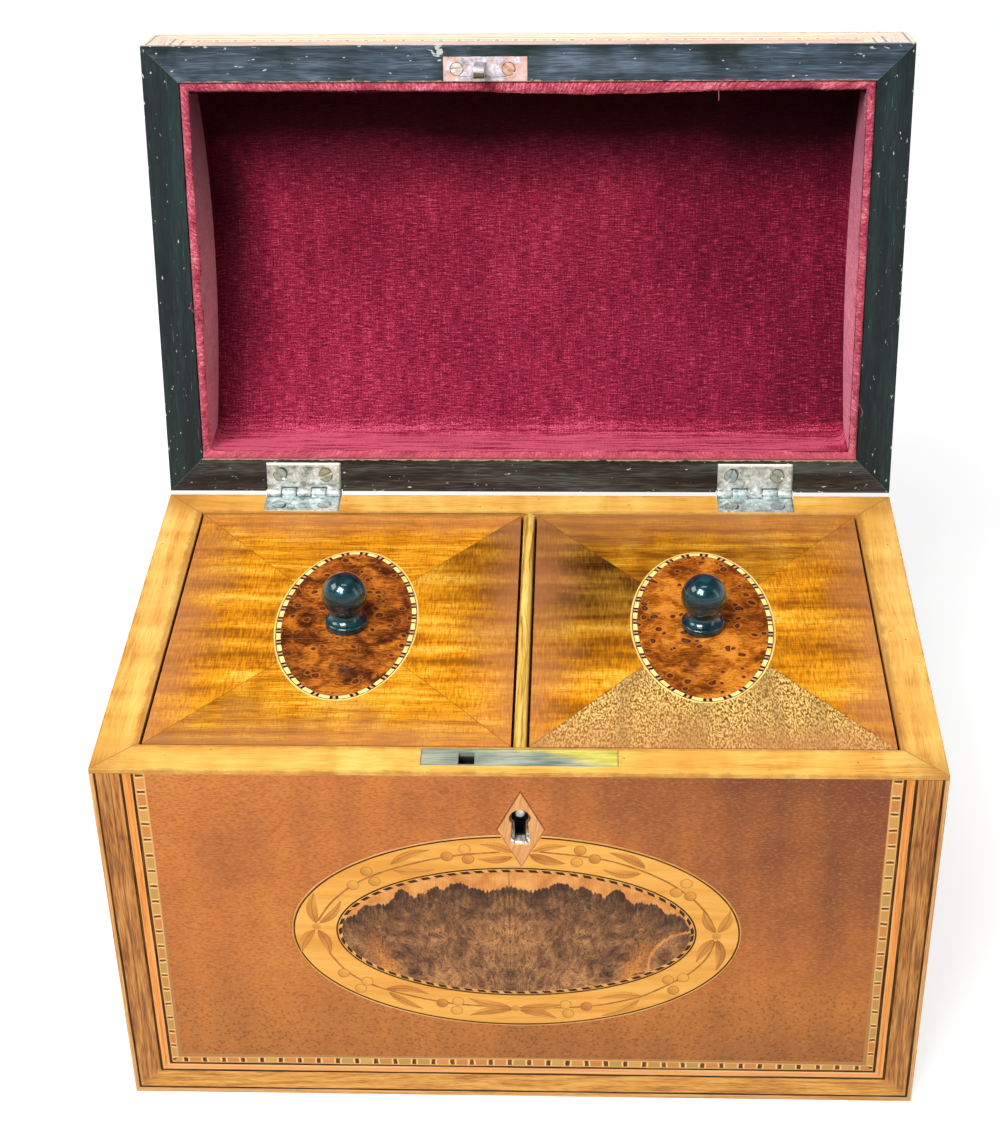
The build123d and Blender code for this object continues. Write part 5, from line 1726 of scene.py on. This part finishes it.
# %% Finish of the cut edge
raw_edge, n = new_finish(
    "raw_velvet_edge", Roughness=0.95, IOR=1.4, Specular_IOR_Level=0.12, Sheen_Weight=0.2, Sheen_Roughness=0.5
)
uv = n("UVMap", uv_map="mm")
tuft = n("TexNoise", uv, Scale=1 / 0.5, Detail=3.0, Roughness=0.75)
ribs = stretched(n, uv, (0.5, 1.6, 1), turn=(0, 0, 0.4), Detail=1.0)
patches = n("TexNoise", uv, Scale=1 / 7, Detail=2.0)
value = n("MULTIPLY_ADD", ribs, 0.3, n("MULTIPLY_ADD", tuft, 0.4, n("MULTIPLY", patches, 0.3)))
tones = ((0.38, "#741830"), (0.46, "#B03850"), (0.53, "#D65E74"), (0.62, "#F8A4AE"))
colour = n("ValToRGB", value, stops=tones)
# Painted sheen: the strip along the hinges is painted paler, where the pile is seen at a grazing angle
y = n("SeparateXYZ", place_mm(n, lid=True), out="Y")
painted_sheen = n("MapRange", n("MULTIPLY_ADD", patches, 3.0, y), 47.4, 49.4, 0, 0.6)
colour = n("Mix RGBA", painted_sheen, colour, "#DC6078")
wire(raw_edge, colour, height=tuft, depth=0.6)

points, uv = rolled_edge()
edge_roll = add_piece("velvet_cut_edge", [(swing(points), uv)], raw_edge, "lid", smooth=True)

# %% Hairs and loose threads
def slivers(roots, directions, lengths, radius):
    """Three-sided hairs: rings of radius, 0.7 radius and 0.1 radius along each direction, bent a little."""
    directions = directions / np.linalg.norm(directions, axis=-1)[:, None]
    side = np.cross(directions, np.array([0.3, 0.9, 0.31]))
    side /= np.linalg.norm(side, axis=-1)[:, None]
    other = np.cross(directions, side)
    turn = np.radians([0, 120, 240, 360])
    ring = side[:, None] * np.cos(turn)[None, :, None] + other[:, None] * np.sin(turn)[None, :, None]
    rows = []
    for share, size, sag in ((0, 1.0, 0), (0.55, 0.7, 0.08), (1.0, 0.1, 0.3)):
        centre = roots + directions * (lengths * share)[:, None] + side * (lengths * sag)[:, None]
        rows.append(centre[:, None] + ring * radius * size)
    points = np.stack(rows, 1)
    return points, np.zeros((*points.shape[:3], 2))


pick = np.random.default_rng(21)
loop = rectangle(84.9, 48.15, 0.25)
spots = loop[pick.integers(0, len(loop) - 1, 2600)]
spots = spots + pick.normal(0, 0.45, spots.shape)
roots = np.concatenate([spots, np.full((len(spots), 1), VELVET_FOOT + 0.15)], -1)
aim = pick.normal(0, 0.75, roots.shape) + np.array([0, 0, -0.55])
hairs, hair_uv = slivers(roots, aim, pick.uniform(0.35, 1.05, len(roots)), 0.045)
fringe = add_piece("velvet_edge_hairs", [(swing(hairs), hair_uv)], raw_edge, "lid", smooth=True)

threads = []
for start, heading, length in (
    ((52.0, -49.0), 2.6, 9.0), ((28.5, -48.6), -2.7, 5.0), ((84.6, 30.0), 1.9, 8.0), ((-85.0, 12.0), -1.2, 6.0),
):
    t = np.linspace(0, 1, 24)
    curl = heading + 1.1 * np.sin(3.5 * t + start[0])
    path = np.array(start) + np.cumsum(np.stack([np.cos(curl), np.sin(curl)], -1), 0) * length / 24
    path = np.concatenate([path, (LID_RIM - 0.12 + 0 * t)[:, None]], -1)
    along = np.gradient(path, axis=0)
    along /= np.linalg.norm(along, axis=-1)[:, None]
    side = np.cross(along, [0, 0, 1.0])
    ring = np.radians(np.linspace(0, 360, 7))
    round_it = side[:, None] * np.cos(ring)[:, None] + np.array([0, 0, 1.0]) * np.sin(ring)[:, None]
    tube = path[:, None] + 0.11 * round_it
    threads.append((swing(tube), np.stack(np.broadcast_arrays(t[:, None] * length, ring[None, :]), -1)))
loose = add_piece("velvet_loose_threads", threads, raw_edge, "lid", smooth=True)

# %% [markdown]
# The end pieces of cloth are cut with an arched top, so their area is less than that of the rectangle around them.

# %% [markdown]
# ## Floor and light
#
# The photograph was taken against white, with light from all round and a large window above. A white world
# gives the even light; two large lamps give the highlights on the knobs and a little direction. The floor is
# white paper. To the camera it looks a little brighter than it is lit, so it reads as white and still holds the
# soft shadow of the box.

# %% Floor
floor_mesh = bpy.data.meshes.new("floor")
floor_mesh.from_pydata([(-6, -6, 0), (6, -6, 0), (6, 6, 0), (-6, 6, 0)], [], [(0, 1, 2, 3)])
floor = bpy.data.objects.new("floor", floor_mesh)
bpy.context.scene.collection.objects.link(floor)
paper, n = new_finish("matt_pale_floor", Roughness=0.9, Specular_IOR_Level=0.1, Base_Color="#B4B4B4")
floor_mesh.materials.append(paper)
tree = paper.node_tree
shader = tree.nodes["Principled BSDF"]
ray = tree.nodes.new("ShaderNodeLightPath").outputs
seen = n("MAXIMUM", n("MAXIMUM", ray["Is Camera Ray"], ray["Is Glossy Ray"]), ray["Is Transmission Ray"])
glow = n("MULTIPLY", seen, 0.75)
shader.inputs["Emission Color"].default_value = (1, 1, 1, 1)
tree.links.new(glow, shader.inputs["Emission Strength"])

# %% World and lamps
world = bpy.data.worlds.new("studio")
bpy.context.scene.world = world
world.use_nodes = True
tree = world.node_tree
n = partial(put, tree)
ray = tree.nodes.new("ShaderNodeLightPath").outputs
height = n("SeparateXYZ", n("TexCoord", out="Generated"), out="Z")
mirrored = n("MapRange", height, 0.1, 0.5, 1.0, 0.22)
strength = n("Mix FLOAT", ray["Is Glossy Ray"], 0.26, mirrored)
seen = n("MAXIMUM", ray["Is Camera Ray"], ray["Is Transmission Ray"])
strength = n("Mix FLOAT", seen, strength, 1.0)
tree.links.new(strength, tree.nodes["Background"].inputs["Strength"])
tree.nodes["Background"].inputs["Color"].default_value = (1, 1, 1, 1)


def lamp(name, azimuth, elevation, distance, size, power):
    """A rectangular soft lamp that points at the box from azimuth (0 is the front, left is negative) in degrees."""
    a, e = radians(azimuth), radians(elevation)
    place = Vector((sin(a) * cos(e), -cos(a) * cos(e), sin(e))) * distance + Vector((0, 0, 0.1))
    data = bpy.data.lights.new(name, "AREA")
    data.shape, data.size, data.size_y, data.energy = "RECTANGLE", size[0], size[1], power
    item = bpy.data.objects.new(name, data)
    bpy.context.scene.collection.objects.link(item)
    item.location = place
    item.rotation_euler = (Vector((0, 0, 0.1)) - place).to_track_quat("-Z", "Y").to_euler()
    return item


# A window of two panes at the upper left, a narrow skylight, and a dim panel on the right
lamp("window_pane_1", -40, 52, 0.95, (0.22, 0.42), 6.0)
lamp("window_pane_2", -17, 50, 0.95, (0.22, 0.42), 6.0)
lamp("skylight", 0, 82, 1.2, (0.5, 0.12), 1.2)
lamp("side_panel", 75, 25, 1.1, (0.3, 0.7), 1.0)
# Two pale walls are seen only as reflections: one on the left in the polish of the knobs, one behind the box
# along the top edge of the open lid
left_wall = lamp("left_wall_glow", -88, 42, 1.0, (0.45, 0.35), 3.0)
back_wall = lamp("back_wall_glow", 180, 14.5, 1.0, (0.6, 0.3), 2.8)
for wall in (left_wall, back_wall):
    wall.visible_diffuse = wall.visible_camera = False
bpy.context.scene.view_settings.view_transform = "Standard"
